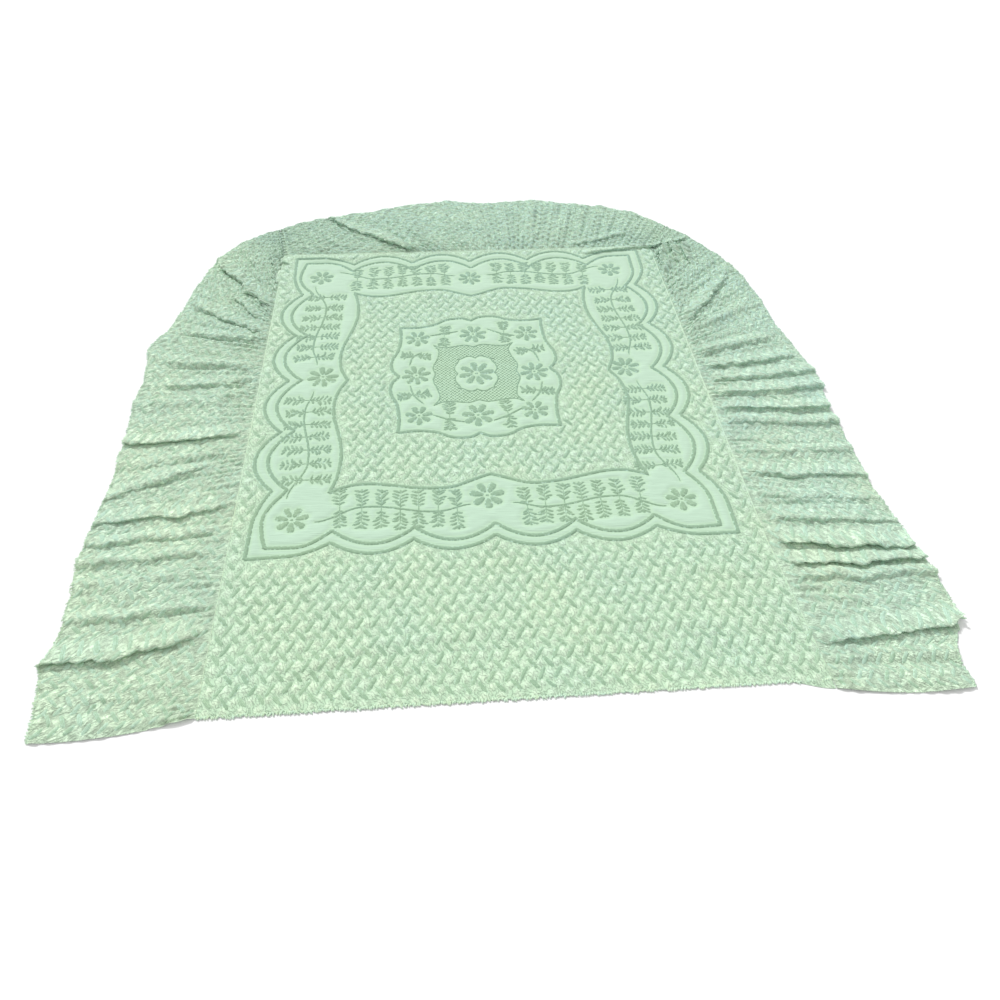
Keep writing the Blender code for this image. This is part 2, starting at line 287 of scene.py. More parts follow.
def cloud(across, along, seed):
    """Smooth seeded lumps from -1 to 1, about one to each unit."""
    lumps = np.random.default_rng(seed).uniform(-1.0, 1.0, (128, 128))
    column, row = np.floor(across).astype(int), np.floor(along).astype(int)
    s, t = ramp(0.0, 1.0, across - column), ramp(0.0, 1.0, along - row)
    near = lumps[column % 128, row % 128] * (1 - s) + lumps[(column + 1) % 128, row % 128] * s
    far = lumps[column % 128, (row + 1) % 128] * (1 - s) + lumps[(column + 1) % 128, (row + 1) % 128] * s
    return near * (1 - t) + far * t


def through(rows, stations, wanted):
    """Values at the wanted stations on smooth curves through the rows, which lie at the given stations."""
    slopes = np.gradient(rows, stations, axis=0)
    index = np.clip(np.searchsorted(stations, wanted, side="right") - 1, 0, len(stations) - 2)
    span = (stations[index + 1] - stations[index])[:, None]
    share = (wanted - stations[index])[:, None] / span
    start_weight = (1.0 + 2.0 * share) * (1.0 - share) ** 2
    end_weight = share**2 * (3.0 - 2.0 * share)
    bend = share * (1.0 - share) * ((1.0 - share) * slopes[index] - share * slopes[index + 1]) * span
    return start_weight * rows[index] + end_weight * rows[index + 1] + bend


def unevenness(gone, fold, spacing, row, seed):
    """Seeded variation along a fold, from -1 to 1."""
    return cloud(gone / spacing, np.full_like(gone, fold["in_along"] * row), seed)


def fold_shift(folds, along, out):
    """How far the folds move cloth that would lie flat here: along, out and up."""
    shift = np.zeros((3,) + along.shape)
    for row in folds:
        fold = dict(zip(FOLD_COLUMNS, row))
        run = np.array((fold["end_along"] - fold["in_along"], fold["end_out"] - fold["in_out"]))
        length = np.hypot(*run)
        run /= length
        past, over = along - fold["in_along"], out - fold["in_out"]
        share = (past * run[0] + over * run[1]) / length
        gone = share * length
        waver = 0.3 * unevenness(gone, fold, 0.07, 7, 5) + 0.22 * unevenness(gone, fold, 0.018, 9, 6)
        waver *= fold["half"]
        beside = np.clip((past * run[1] - over * run[0] + waver) / fold["half"], -1.0, 1.0)
        ridge = (0.5 + 0.5 * np.cos(np.pi * beside)) * ramp(FOLD_START, FOLD_RISE, share)
        ridge *= 1 - ramp(FOLD_FADE, FOLD_END, share)
        ridge *= 1 + 0.25 * unevenness(gone, fold, 0.05, 5, 7)
        shift[0] += ridge * fold["lean"] * run[1]
        shift[1] -= ridge * fold["lean"] * run[0]
        shift[2] += ridge * fold["height"]
    return shift


def creased(x, y, z):
    """Points with the creases that cross the seams, given across and up from the panel's corner."""
    shift = fold_shift(CREASES, x, y)
    return np.column_stack((x + shift[0], y + shift[1], CLOTH + z + shift[2])) + CORNER


def straight_seam(along):
    """The left and foot seams run straight."""
    return np.zeros_like(along)


def right_seam(along):
    """How far out the right seam runs past the panel's width at the foot."""
    return np.interp(along, (-HEAD_DIP, SPREAD_END, PANEL_LENGTH), (HEAD_SPREAD, SPREAD_LEFT, 0.0))


def left_side(along, out):
    """Across and up from the panel's corner, for a place beyond the left seam."""
    return -out, along


def foot_side(along, out):
    """Across and up, for a place beyond the foot seam."""
    return along, PANEL_LENGTH + out


def right_side(along, out):
    """Across and up, for a place beyond the right seam."""
    return PANEL_WIDTH + out, along


class FlounceCut:
    """One gathered length of flounce, and how it lies."""

    def __init__(self, name, ribs, folds, side, fullness, joins, seed):
        """joins says whether its first and its last end are joined to another length."""
        self.name, self.side = name, side
        self.seam = right_seam if side is right_side else straight_seam
        self.folds = np.array(folds) * (1.0, 1.0, 1.0, 1.0, FOLD_NARROWING, FOLD_LOWERING, FOLD_OVERHANG)
        self.joins, self.seed = joins, seed
        self.rows = np.array(ribs)
        seam_steps = np.diff(self.rows[:, 0])
        hem_steps = np.hypot(*np.diff(self.rows[:, 1:3], axis=0).T)
        self.stations = np.concatenate(([0.0], np.cumsum((seam_steps + hem_steps) / 2)))
        self.reach = self.stations[-1]
        self.length = round(self.reach * fullness, 2)
        self.turn = -1.0 if side is right_side else 1.0

    def gathers(self, station, down):
        """Fine gathers at the seam, which run together into broader folds towards the hem."""
        rise = np.zeros_like(station)
        strength = 0.65 + 0.55 * cloud(station / 0.12, down / 0.3, self.seed)
        wander = 0.015 * cloud(station / 0.08, down / 0.22, self.seed + 1)
        for row in GATHERS:
            gather = dict(zip(GATHER_COLUMNS, row))
            pitch = gather["pitch"]
            amount = ramp(gather["start"], gather["full"], down)
            amount = amount * (1.0 - ramp(gather["fade"], gather["end"], down))
            drift = 3.0 * cloud(station / (3.1 * pitch), down / 0.5 + 9.0 * pitch, self.seed + 2)
            wave = 0.5 + 0.5 * np.sin(2.0 * np.pi * (station + wander) / pitch + drift)
            rise += amount * gather["height"] * wave * strength
        return rise

    def lay(self, cut, down):
        """Where a place on the cut cloth lies, cut metres along it and down metres from its seam."""
        station = np.clip(cut / self.length, 0.0, 1.0) * self.reach
        depth = down / FLOUNCE_DEPTH
        rib = dict(zip(RIB_COLUMNS, through(self.rows, self.stations, station).T))
        seam_out = self.seam(rib["seam_along"])
        along = rib["seam_along"] + depth * (rib["hem_along"] - rib["seam_along"])
        out = seam_out + depth * (rib["hem_out"] - seam_out)
        rib_length = np.hypot(rib["hem_along"] - rib["seam_along"], rib["hem_out"] - seam_out)
        reach = depth * rib_length
        lie = ramp(HEADING, GATHER_RISE, reach)
        ends = np.ones_like(lie)
        if self.joins[0]:
            ends *= ramp(JOIN_FLAT, JOIN_RISE, station)
        if self.joins[1]:
            ends *= ramp(JOIN_FLAT, JOIN_RISE, self.reach - station)
        shift = fold_shift(self.folds, along, out)
        crumple = 0.0016 * cloud(station / 0.017, down / 0.045, self.seed + 3)
        crumple += 0.0012 * cloud(station / 0.009 + down / 0.02, down / 0.02, self.seed + 4)
        rise = lie * ends * shift[2] + ends * self.gathers(station, down)
        rise += crumple * ramp(0.0, 0.02, reach)
        along = along + lie * ends * shift[0]
        out = out + lie * ends * shift[1]
        ripple = 0.0035 * cloud(station / 0.05, np.full_like(station, 3.0), self.seed + 5)
        out = out + ripple * ramp(0.8, 1.0, depth)
        if not self.joins[0]:
            along = along - 4 * END_BOW * depth * (1 - depth) * (1 - ramp(0.0, END_BOW_REACH, station))
        x, y = self.side(along, out)
        return creased(x, y, np.maximum(rise, -0.0012))


FLOUNCES = (
    FlounceCut("flounce_left", LEFT_RIBS, LEFT_FOLDS, left_side, SIDE_FULLNESS, (False, True), 101),
    FlounceCut("flounce_foot", FOOT_RIBS, FOOT_FOLDS, foot_side, FOOT_FULLNESS, (True, True), 211),
    FlounceCut("flounce_right", RIGHT_RIBS, RIGHT_FOLDS, right_side, SIDE_FULLNESS, (False, True), 307),
)


def from_edge(across, up):
    """Distance from the panel's nearest edge."""
    edge = np.minimum(across, PANEL_WIDTH + right_seam(up) - across)
    return np.minimum(edge, np.minimum(up - HEAD_EDGE, PANEL_LENGTH - up))


def panel_lay(across, up):
    """Where a place on the panel's cloth lies, from its head-left corner."""
    rise = 0.0012 * cloud(across / 0.21, up / 0.24, 31)
    rise += 0.0007 * cloud(across / 0.05, up / 0.05, 32)
    return creased(across, up, 0.0006 + rise * ramp(0.0, 0.04, from_edge(across, up)))


def normal_of(lay, a, b, turn=1.0):
    """The cloth's upward direction at places on its cut."""
    step = 0.0015
    over = lay(a + step, b) - lay(a - step, b)
    along = lay(a, b + step) - lay(a, b - step)
    normal = np.cross(over, along) * turn
    return normal / np.maximum(np.linalg.norm(normal, axis=1), 1e-9)[:, None]


# Basket weave: in each repeat one long and one short stroke lean against each other.
BASKET_ACROSS = 0.040
BASKET_ALONG = 0.056
STROKE_COLUMNS = ("across", "along", "half_across", "half_along")
BASKET_STROKES = (
    (0.0, 0.0, 0.0112, 0.0195),
    (0.5, 0.5, -0.0118, 0.0155),
)


def basket_hollow(a, b):
    """Distance from the nearest basket stroke's middle line."""
    nearest = np.full(a.shape, 1.0)
    for row in BASKET_STROKES:
        stroke = dict(zip(STROKE_COLUMNS, row))
        x = (a / BASKET_ACROSS - stroke["across"] + 0.5) % 1.0 - 0.5
        y = (b / BASKET_ALONG - stroke["along"] + 0.5) % 1.0 - 0.5
        for i in (-1, 0, 1):
            for j in (-1, 0, 1):
                dx, dy = (x + i) * BASKET_ACROSS, (y + j) * BASKET_ALONG
                run = np.array((stroke["half_across"], stroke["half_along"]))
                share = np.clip((dx * run[0] + dy * run[1]) / (run @ run), -1.0, 1.0)
                nearest = np.minimum(nearest, np.hypot(dx - share * run[0], dy - share * run[1]))
    return nearest


def repeats(span, pitch):
    """Numbers of the repeats that reach into a span."""
    return np.arange(math.floor(span[0] / pitch) - 1, math.ceil(span[1] / pitch) + 1)


def basket_tufts(a_range, b_range, rng, unruly=1.0):
    """A tuft for each basket stroke in a range of the cut: middle, direction, half length, half width, height
    and bend."""
    tufts = []
    for row in BASKET_STROKES:
        stroke = dict(zip(STROKE_COLUMNS, row))
        a, b = np.meshgrid(
            (repeats(a_range, BASKET_ACROSS) + stroke["across"]) * BASKET_ACROSS,
            (repeats(b_range, BASKET_ALONG) + stroke["along"]) * BASKET_ALONG,
        )
        a, b = a.ravel(), b.ravel()
        keep = (a > a_range[0]) & (a < a_range[1]) & (b > b_range[0]) & (b < b_range[1])
        a, b = a[keep], b[keep]
        angle = math.atan2(stroke["half_along"], stroke["half_across"])
        half = math.hypot(stroke["half_across"], stroke["half_along"])
        count = len(a)
        tufts.append(
            np.column_stack(
                (
                    a + unruly * rng.normal(0.0, 0.0012, count),
                    b + unruly * rng.normal(0.0, 0.0014, count),
                    angle + unruly * rng.normal(0.0, 0.06, count),
                    half * rng.uniform(0.85, 1.08, count),
                    0.0066 * rng.uniform(0.85, 1.15, count),
                    0.0019 * rng.uniform(0.8, 1.2, count),
                    unruly * rng.normal(0.0, 0.0012, count),
                )
            )
        )
    return np.concatenate(tufts)


def inside(loop, points):
    """Which points lie inside a closed line."""
    x, y = points[:, 0], points[:, 1]
    crossings = np.zeros(len(points), dtype=int)
    for (x0, y0), (x1, y1) in zip(loop, np.roll(loop, -1, axis=0)):
        if y0 != y1:
            spans = (y0 > y) != (y1 > y)
            crossings += spans & (x < x0 + (y - y0) * (x1 - x0) / (y1 - y0))
    return crossings % 2 == 1


def scallop_inset(cusp, bottom, first=1 / 6, bulge=0.0):
    """How far in a scalloped line runs at a share of its side: six arcs, the end ones running out to the
    corners. The first cusp stands at the share "first", and the end arcs bulge inward by "bulge"."""

    def inset(share):
        """How far in, at a share of the side."""
        arc = np.clip(np.interp(share, (0.0, first, 1.0 - first, 1.0), (0.0, 1.0, 5.0, 6.0)), 0.0, 5.9999)
        part = arc % 1.0
        line = cusp - (cusp - bottom) * np.sin(np.pi * part) ** 0.8
        from_corner = np.where(arc < 1, part, 1.0 - part)
        corner = bulge * np.sin(np.pi * np.clip(from_corner / 0.9, 0, 1))
        corner = corner + cusp * np.clip((from_corner - 0.45) / 0.55, 0, 1) ** 1.8
        return np.where((arc < 1) | (arc >= 5), corner, line)

    return inset


# Half a side of each ogee line: shares of the way from its corner to the middle of the side, and how far in
# it runs there
BAND_ACROSS = (
    (0.00, 0.000),
    (0.04, 0.010),
    (0.12, 0.023),
    (0.24, 0.027),
    (0.40, 0.014),
    (0.52, 0.002),
    (0.64, -0.004),
    (0.76, -0.003),
    (0.86, 0.014),
    (0.93, 0.028),
    (1.00, 0.040),
)
BAND_SIDE = (
    (0.00, 0.000),
    (0.08, 0.012),
    (0.20, 0.021),
    (0.34, 0.020),
    (0.50, 0.004),
    (0.64, -0.015),
    (0.78, -0.020),
    (0.90, -0.009),
    (1.00, 0.013),
)
MEDAL_ACROSS = (
    (0.00, 0.000),
    (0.20, 0.005),
    (0.38, 0.001),
    (0.50, -0.008),
    (0.62, -0.026),
    (0.78, -0.034),
    (0.92, -0.029),
    (1.00, -0.015),
)
MEDAL_SIDE = (
    (0.00, 0.000),
    (0.14, 0.003),
    (0.34, 0.001),
    (0.50, -0.006),
    (0.66, -0.023),
    (0.80, -0.027),
    (0.90, -0.020),
    (1.00, 0.001),
)
LATTICE_ACROSS = ((0.0, 0.0), (0.16, 0.012), (0.5, 0.012), (0.8, 0.006), (1.0, 0.016))
LATTICE_SIDE = ((0.0, 0.0), (0.16, 0.016), (0.5, 0.012), (0.8, -0.002), (1.0, 0.006))
WINDOW_INSET = ((0.0, 0.012), (0.25, 0.008), (0.5, -0.003), (0.8, -0.005), (1.0, 0.004))


def ogee_inset(table):
    """How far in an ogee line runs at a share of its side, the same from either end."""
    rows = np.array(table)

    def inset(share):
        """How far in, at a share of the side."""
        half = 1.0 - np.abs(2.0 * share - 1.0)
        return through(rows[:, 1:], rows[:, 0], half)[:, 0]

    return inset


def frame_loop(corners, head_inset, side_inset, foot_inset=None, left_inset=None, step=0.006):
    """A closed line through four corners, run in from each side between them by inset(share)."""
    insets = (head_inset, side_inset, foot_inset or head_inset, left_inset or side_inset)
    lines = []
    for inset, start, end in zip(insets, corners, corners[1:] + corners[:1]):
        run = np.subtract(end, start)
        length = np.hypot(*run)
        share = np.linspace(0.0, 1.0, round(length / step), endpoint=False)
        inward = np.array((-run[1], run[0])) / length
        lines.append(start + share[:, None] * run + inset(share)[:, None] * inward)
    return np.concatenate(lines)


OUTER_LOOP = frame_loop(
    [(-0.003, -0.030), (1.344, -0.019), (1.335, 1.437), (0.000, 1.428)],
    scallop_inset(0.042, -0.002, bulge=0.001),
    scallop_inset(0.052, -0.004),
    scallop_inset(0.052, -0.004),
    scallop_inset(0.044, -0.020, bulge=0.002),
)
INNER_LOOP = frame_loop(
    [(0.045, 0.004), (1.300, 0.010), (1.298, 1.398), (0.042, 1.394)],
    scallop_inset(0.052, -0.002, first=0.142, bulge=-0.003),
    scallop_inset(0.054, -0.004, first=0.153, bulge=0.002),
    scallop_inset(0.062, 0.002, first=0.142),
    scallop_inset(0.040, -0.028, first=0.153, bulge=-0.018),
)
BAND_LOOP = frame_loop(
    [(0.205, 0.195), (1.135, 0.213), (1.092, 1.192), (0.232, 1.190)],
    ogee_inset(BAND_ACROSS),
    ogee_inset(BAND_SIDE),
)
MEDAL_LOOP = frame_loop(
    [(0.398, 0.432), (0.905, 0.441), (0.903, 0.998), (0.402, 0.966)],
    ogee_inset(MEDAL_ACROSS),
    ogee_inset(MEDAL_SIDE),
)
LATTICE_LOOP = frame_loop(
    [(0.512, 0.553), (0.802, 0.560), (0.790, 0.864), (0.516, 0.862)],
    ogee_inset(LATTICE_ACROSS),
    ogee_inset(LATTICE_SIDE),
)
WINDOW_LOOP = frame_loop(
    [(0.590, 0.622), (0.720, 0.622), (0.720, 0.790), (0.590, 0.790)],
    ogee_inset(WINDOW_INSET),
    ogee_inset(WINDOW_INSET),
)

# Flowers: middle, the radius to their petals' tips, and how many petals
FLOWER_COLUMNS = ("across", "up", "radius", "petals")
FLOWERS = (
    (0.108, 0.100, 0.049, 7),
    (1.213, 0.112, 0.047, 7),
    (0.104, 1.295, 0.046, 7),
    (1.205, 1.300, 0.046, 7),
    (0.656, 0.160, 0.053, 7),
    (0.150, 0.712, 0.053, 8),
    (1.160, 0.712, 0.052, 8),
    (0.662, 1.268, 0.046, 8),
    (0.464, 0.507, 0.046, 7),
    (0.832, 0.514, 0.046, 7),
    (0.462, 0.902, 0.045, 7),
    (0.842, 0.914, 0.045, 7),
    (0.650, 0.500, 0.054, 7),
    (0.456, 0.704, 0.050, 8),
    (0.850, 0.704, 0.050, 8),
    (0.655, 0.918, 0.050, 8),
    (0.656, 0.704, 0.062, 8),
)
# Rows of sprigs: how far along the side each stands, and how far in their middles lie at either end of a row
SPRIG_PLACES = (0.238, 0.300, 0.355, 0.408, 0.460, 0.515, 0.568)
SPRIG_MIDDLE = (0.130, 0.112)
SPRIG_REACH = 0.070
LEAF_COLUMNS = ("up_stem", "spread")
LEAVES = ((0.010, 0.75), (0.022, 0.95), (0.034, 1.0), (0.047, 1.0), (0.059, 0.85))
# Sprays in the medallion: middle, angle and half length
SPRAY_COLUMNS = ("across", "up", "angle", "reach")
SPRAYS = (
    (0.560, 0.500, 90, 0.062),
    (0.745, 0.502, 96, 0.062),
    (0.555, 0.912, 84, 0.054),
    (0.764, 0.926, 90, 0.058),
    (0.448, 0.606, 8, 0.050),
    (0.456, 0.806, -10, 0.048),
    (0.852, 0.608, 172, 0.050),
    (0.846, 0.822, 190, 0.048),
)
# Curved stems in the medallion, through three points each
STEMS = (
    ((0.508, 0.507), (0.556, 0.486), (0.606, 0.472)),
    ((0.698, 0.472), (0.744, 0.494), (0.794, 0.526)),
    ((0.506, 0.915), (0.554, 0.926), (0.604, 0.938)),
    ((0.706, 0.944), (0.762, 0.912), (0.800, 0.902)),
    ((0.434, 0.757), (0.446, 0.800), (0.476, 0.824)),
    ((0.872, 0.757), (0.858, 0.806), (0.826, 0.828)),
    ((0.436, 0.652), (0.448, 0.604), (0.480, 0.560)),
    ((0.870, 0.650), (0.858, 0.602), (0.828, 0.558)),
)


def plain_ground(places):
    """Which places, measured from the panel's corner, lie on the plain ground of the figured bands."""
    design = places - FIGURE_CORNER
    return inside(OUTER_LOOP, design) & ~inside(BAND_LOOP, design) | inside(MEDAL_LOOP, design)


def clearance(piece, points):
    """Distance from each point to the nearest vertex of a piece."""
    tree = kdtree.KDTree(len(piece.data.vertices))
    for vertex in piece.data.vertices:
        tree.insert(vertex.co, vertex.index)
    tree.balance()
    return np.array([tree.find(point)[2] for point in points.tolist()])


def flower_tufts(flower, rng):
    """Petals that nearly touch round a small eye."""
    place = dict(zip(FLOWER_COLUMNS, flower))
    radius, petals = place["radius"], place["petals"]
    tufts = [(place["across"], place["up"], 0.0, 0.09 * radius, 0.09 * radius, 0.0014, 0.0)]
    for petal in range(petals):
        angle = 2 * math.pi / petals * (petal + 0.25) + rng.normal(0.0, 0.03)
        middle = 0.58 * radius
        tufts.append(
            (
                place["across"] + middle * math.cos(angle),
                place["up"] + middle * math.sin(angle),
                angle,
                0.42 * radius * rng.uniform(0.94, 1.04),
                1.66 * radius / petals,
                0.0022,
                0.0,
            )
        )
    return tufts


def sprig_tufts(middle, direction, reach, rng):
    """A stem with paired leaves that curve out and away from its middle, as tufts."""
    run = np.array((math.cos(direction), math.sin(direction)))
    tufts = [(middle[0], middle[1], direction, reach - 0.004, 0.0021, 0.0015, 0.0)]
    for half in (-1, 1):
        for row in LEAVES:
            leaf = dict(zip(LEAF_COLUMNS, row))
            for flank in (-1, 1):
                outward = direction if half > 0 else direction + math.pi
                angle = outward + flank * math.radians(rng.normal(60, 9))
                length = 0.0140 * leaf["spread"] * rng.uniform(0.82, 1.12)
                root = middle + run * half * leaf["up_stem"] * reach / SPRIG_REACH
                centre = root + length * np.array((math.cos(angle), math.sin(angle)))
                tufts.append((centre[0], centre[1], angle, length, 0.0052, 0.0021, -flank * 0.0026))
        tip = middle + run * half * (reach - 0.004)
        tufts.append((tip[0], tip[1], direction, 0.0095, 0.0050, 0.0021, 0.0))
    return tufts


def from_four_sides(along, inward):
    """A place given along and in from a side, on both halves of all four sides of the figured frame."""
    height = along * 1.052
    for flip in (False, True):
        across = FIGURE_WIDTH - along if flip else along
        up = FIGURE_LENGTH - height if flip else height
        yield np.stack((across, 0.002 + inward), -1), math.pi / 2
        yield np.stack((across, FIGURE_LENGTH - 0.004 - inward), -1), math.pi / 2
        yield np.stack((inward, up), -1), 0.0
        yield np.stack((FIGURE_WIDTH - 0.024 - inward, up), -1), 0.0


def band_tufts(rng):
    """Sprigs down each half of each side of the band."""
    tufts = []
    for along in SPRIG_PLACES:
        share = (along - SPRIG_PLACES[0]) / (SPRIG_PLACES[-1] - SPRIG_PLACES[0])
        inward = SPRIG_MIDDLE[0] + share * (SPRIG_MIDDLE[1] - SPRIG_MIDDLE[0]) + rng.normal(0, 0.002)
        for place, direction in from_four_sides(along, inward):
            lean = rng.normal(0, 0.03)
            reach = SPRIG_REACH * rng.uniform(0.93, 1.04)
            tufts += sprig_tufts(place, direction + lean, reach, rng)
    return tufts


def medallion_tufts(rng):
    """Leaf sprays between the medallion's flowers."""
    tufts = []
    for row in SPRAYS:
        spray = dict(zip(SPRAY_COLUMNS, row))
        place = np.array((spray["across"], spray["up"]))
        tufts += sprig_tufts(place, math.radians(spray["angle"]), spray["reach"], rng)
    return tufts


def lattice_tufts(rng):
    """Fine cross-hatching between the lattice block's edge and its window."""
    pitch = 0.0135
    across, up = np.meshgrid(np.arange(0.50, 0.81, pitch), np.arange(0.55, 0.87, pitch))
    places = np.column_stack((across.ravel(), up.ravel()))
    tufts = []
    for offset, lean in (((0.0, 0.0), 45), ((pitch / 2, pitch / 2), -45)):
        moved = places + offset
        keep = inside(LATTICE_LOOP, moved) & ~inside(WINDOW_LOOP, moved)
        for x, y in moved[keep]:
            tufts.append((x, y, math.radians(lean + rng.normal(0, 4)), 0.0068, 0.0030, 0.0016, 0.0))
    return tufts


def stem_lines():
    """The tendril that links the sprigs of each half side, and the curved stems of the medallion."""
    share = np.linspace(0.0, 1.0, 46)
    along = 0.172 + share * 0.435
    inward = 0.086 + 0.048 * ramp(0.0, 0.3, share)
    inward = inward - 0.028 * ramp(0.35, 0.75, share) + 0.020 * ramp(0.8, 1.0, share)
    lines = [line for line, direction in from_four_sides(along, inward)]
    stations = np.array((0.0, 0.5, 1.0))
    return lines + [through(np.array(stem), stations, np.linspace(0.0, 1.0, 14)) for stem in STEMS]


def tuft_arrays(tufts, lay, turn=1.0, cells=(6, 4), lift=0.0, flare=0.0, blunt=4.0, tones=(0.0, 1.0)):
    """Low rounded strokes of pile on the cloth, one for each row of tufts, as points, faces, tones and places
    in the stroke. They widen by "flare" towards their far ends, which are rounder the lower "blunt" is."""
    tufts = np.asarray(tufts, dtype=float)
    a, b = np.meshgrid(np.linspace(-1, 1, cells[0] + 1), np.linspace(-1, 1, cells[1] + 1), indexing="ij")
    a, b = a.ravel(), b.ravel()
    width = np.sqrt(np.clip(1.0 - 0.93 * np.abs(a) ** blunt, 0, 1)) * (1.0 + flare * a)
    crown = np.sqrt(np.clip(1.0 - b**2, 0.0, 1.0)) * np.sqrt(np.clip(1.0 - a**6, 0.0, 1.0))
    x0, y0, angle, half_length, half_width, height, bend = (tufts[:, i : i + 1] for i in range(7))
    forward = a * half_length
    sideways = b * half_width * width + bend * (1.0 - a**2)
    x = (x0 + forward * np.cos(angle) - sideways * np.sin(angle)).ravel()
    y = (y0 + forward * np.sin(angle) + sideways * np.cos(angle)).ravel()
    up = (lift - 0.0006 + (height + 0.0006) * crown).ravel()
    points = lay(x, y) + normal_of(lay, x, y, turn) * up[:, None]
    per = len(a)
    column, row = np.meshgrid(np.arange(cells[0]), np.arange(cells[1]), indexing="ij")
    first = (column * (cells[1] + 1) + row).ravel()
    quad = np.column_stack((first, first + cells[1] + 1, first + cells[1] + 2, first + 1))
    faces = (quad[None, :, :] + (np.arange(len(tufts)) * per)[:, None, None]).reshape(-1, 4)
    if turn < 0:
        faces = faces[:, ::-1]
    tone = np.random.default_rng(len(tufts)).uniform(*tones, len(tufts))
    edge = np.tile(np.maximum(np.abs(b), np.abs(a) ** 3), len(tufts))
    place = np.column_stack(((a * half_length).ravel(), (b * width * half_width).ravel(), edge))
    return points, faces, np.repeat(tone, per), place


def ribbon_arrays(line, half_width, height, lay, closed=False):
    """A rounded line of pile along points on the cloth."""
    if closed:
        line = np.concatenate((line, line[:1]))
    ahead = np.gradient(line, axis=0)
    ahead /= np.maximum(np.linalg.norm(ahead, axis=1), 1e-9)[:, None]
    beside = np.column_stack((-ahead[:, 1], ahead[:, 0]))
    section = np.array(((-1.0, -0.4), (-0.72, 0.62), (0.0, 1.0), (0.72, 0.62), (1.0, -0.4)))
    taper = np.ones(len(line))
    if not closed:
        taper = 0.25 + 0.75 * np.sin(np.pi * np.linspace(0, 1, len(line))) ** 0.35
    sideways = beside[:, None, :] * (section[:, 0] * half_width)[None, :, None]
    xy = line[:, None, :] + sideways * taper[:, None, None]
    x, y = xy[..., 0].ravel(), xy[..., 1].ravel()
    up = np.where(section[:, 1] < 0, -0.0006, section[:, 1] * height)
    up = np.repeat(up[None, :], len(line), axis=0).ravel()
    points = lay(x, y) + normal_of(lay, x, y) * up[:, None]
    count = len(section)
    step, column = np.meshgrid(np.arange(len(line) - 1), np.arange(count - 1), indexing="ij")
    first = (step * count + column).ravel()
    faces = np.column_stack((first, first + count, first + count + 1, first + 1))
    gone = np.concatenate(([0.0], np.cumsum(np.linalg.norm(np.diff(line, axis=0), axis=1))))
    across = np.tile(section[:, 0], len(line))
    place = np.column_stack((np.repeat(gone, count), across * half_width, np.abs(across)))
    return points, faces, np.full(len(points), -0.5), place


def joined(name, parts):
    """One mesh object from many (points, faces, tones, places along, across and towards the pile's edge)."""
    points = np.concatenate([part[0] for part in parts])
    starts = np.cumsum([0] + [len(part[0]) for part in parts[:-1]])
    faces = np.concatenate([part[1] + start for part, start in zip(parts, starts)])
    mesh = bpy.data.meshes.new(name)
    mesh.from_pydata(points.tolist(), [], faces.tolist())
    tone = mesh.attributes.new("tone", "FLOAT", "POINT")
    tone.data.foreach_set("value", np.concatenate([part[2] for part in parts]))
    stroke = mesh.attributes.new("stroke", "FLOAT_VECTOR", "POINT")
    stroke.data.foreach_set("vector", np.concatenate([part[3] for part in parts]).ravel())
    mesh.shade_smooth()
    piece = bpy.data.objects.new(name, mesh)
    bpy.context.scene.collection.objects.link(piece)
    return piece


def cloth_grid(name, columns, rows):
    """A flat grid added as by hand, and each vertex's share along it and across it."""
    bpy.ops.object.select_all(action="DESELECT")
    bpy.ops.mesh.primitive_grid_add(x_subdivisions=columns, y_subdivisions=rows, size=1.0, calc_uvs=True)
    piece = bpy.context.object
    piece.name = piece.data.name = name
    flat = np.empty(len(piece.data.vertices) * 3)
    piece.data.vertices.foreach_get("co", flat)
    flat = flat.reshape(-1, 3)
    return piece, flat[:, 0] + 0.5, flat[:, 1] + 0.5


def finish_cloth(piece, points, uv_scale, attributes, turn=1.0):
    """Moves the grid's vertices into place, scales its UV map to metres of cut cloth, and adds attributes."""
    mesh = piece.data
    mesh.vertices.foreach_set("co", points.ravel())
    uvs = np.empty(len(mesh.loops) * 2)
    layer = mesh.uv_layers[0]
    layer.name = "cut"
    layer.data.foreach_get("uv", uvs)
    layer.data.foreach_set("uv", (uvs.reshape(-1, 2) * uv_scale).ravel())
    for name, values in attributes.items():
        mesh.attributes.new(name, "FLOAT", "POINT").data.foreach_set("value", values)
    mesh.update()
    if turn < 0:
        mesh.flip_normals()
    mesh.shade_smooth()


def add_node(tree, kind, settings, *inputs, take=0, **named):
    """Adds a node, sets its properties, and gives its sockets, in order or by name, a value or another node's
    output. Returns the output to take."""
    node = tree.nodes.new(kind)
    for name, value in settings.items():
        setattr(node, name, value)
    in_use = [socket for socket in node.inputs if socket.enabled]
    by_name = [(node.inputs[name], value) for name, value in named.items()]
    for socket, value in [*zip(in_use, inputs), *by_name]:
        if isinstance(value, bpy.types.NodeSocket):
            tree.links.new(value, socket)
        else:
            socket.default_value = value
    return node.outputs[take]


MATH = "ShaderNodeMath"
ADD, SUBTRACT, MULTIPLY = {"operation": "ADD"}, {"operation": "SUBTRACT"}, {"operation": "MULTIPLY"}
MULTIPLY_ADD, SINE = {"operation": "MULTIPLY_ADD"}, {"operation": "SINE"}
ABSOLUTE, LARGER = {"operation": "ABSOLUTE"}, {"operation": "MAXIMUM"}
MIX, MIXED = "ShaderNodeMix", {"data_type": "RGBA"}
TINTED = {"data_type": "RGBA", "blend_type": "MULTIPLY"}
MIX_COLOUR = 2                # the Mix node's colour output
RANGE, NOISE, MAPPING = "ShaderNodeMapRange", "ShaderNodeTexNoise", "ShaderNodeMapping"


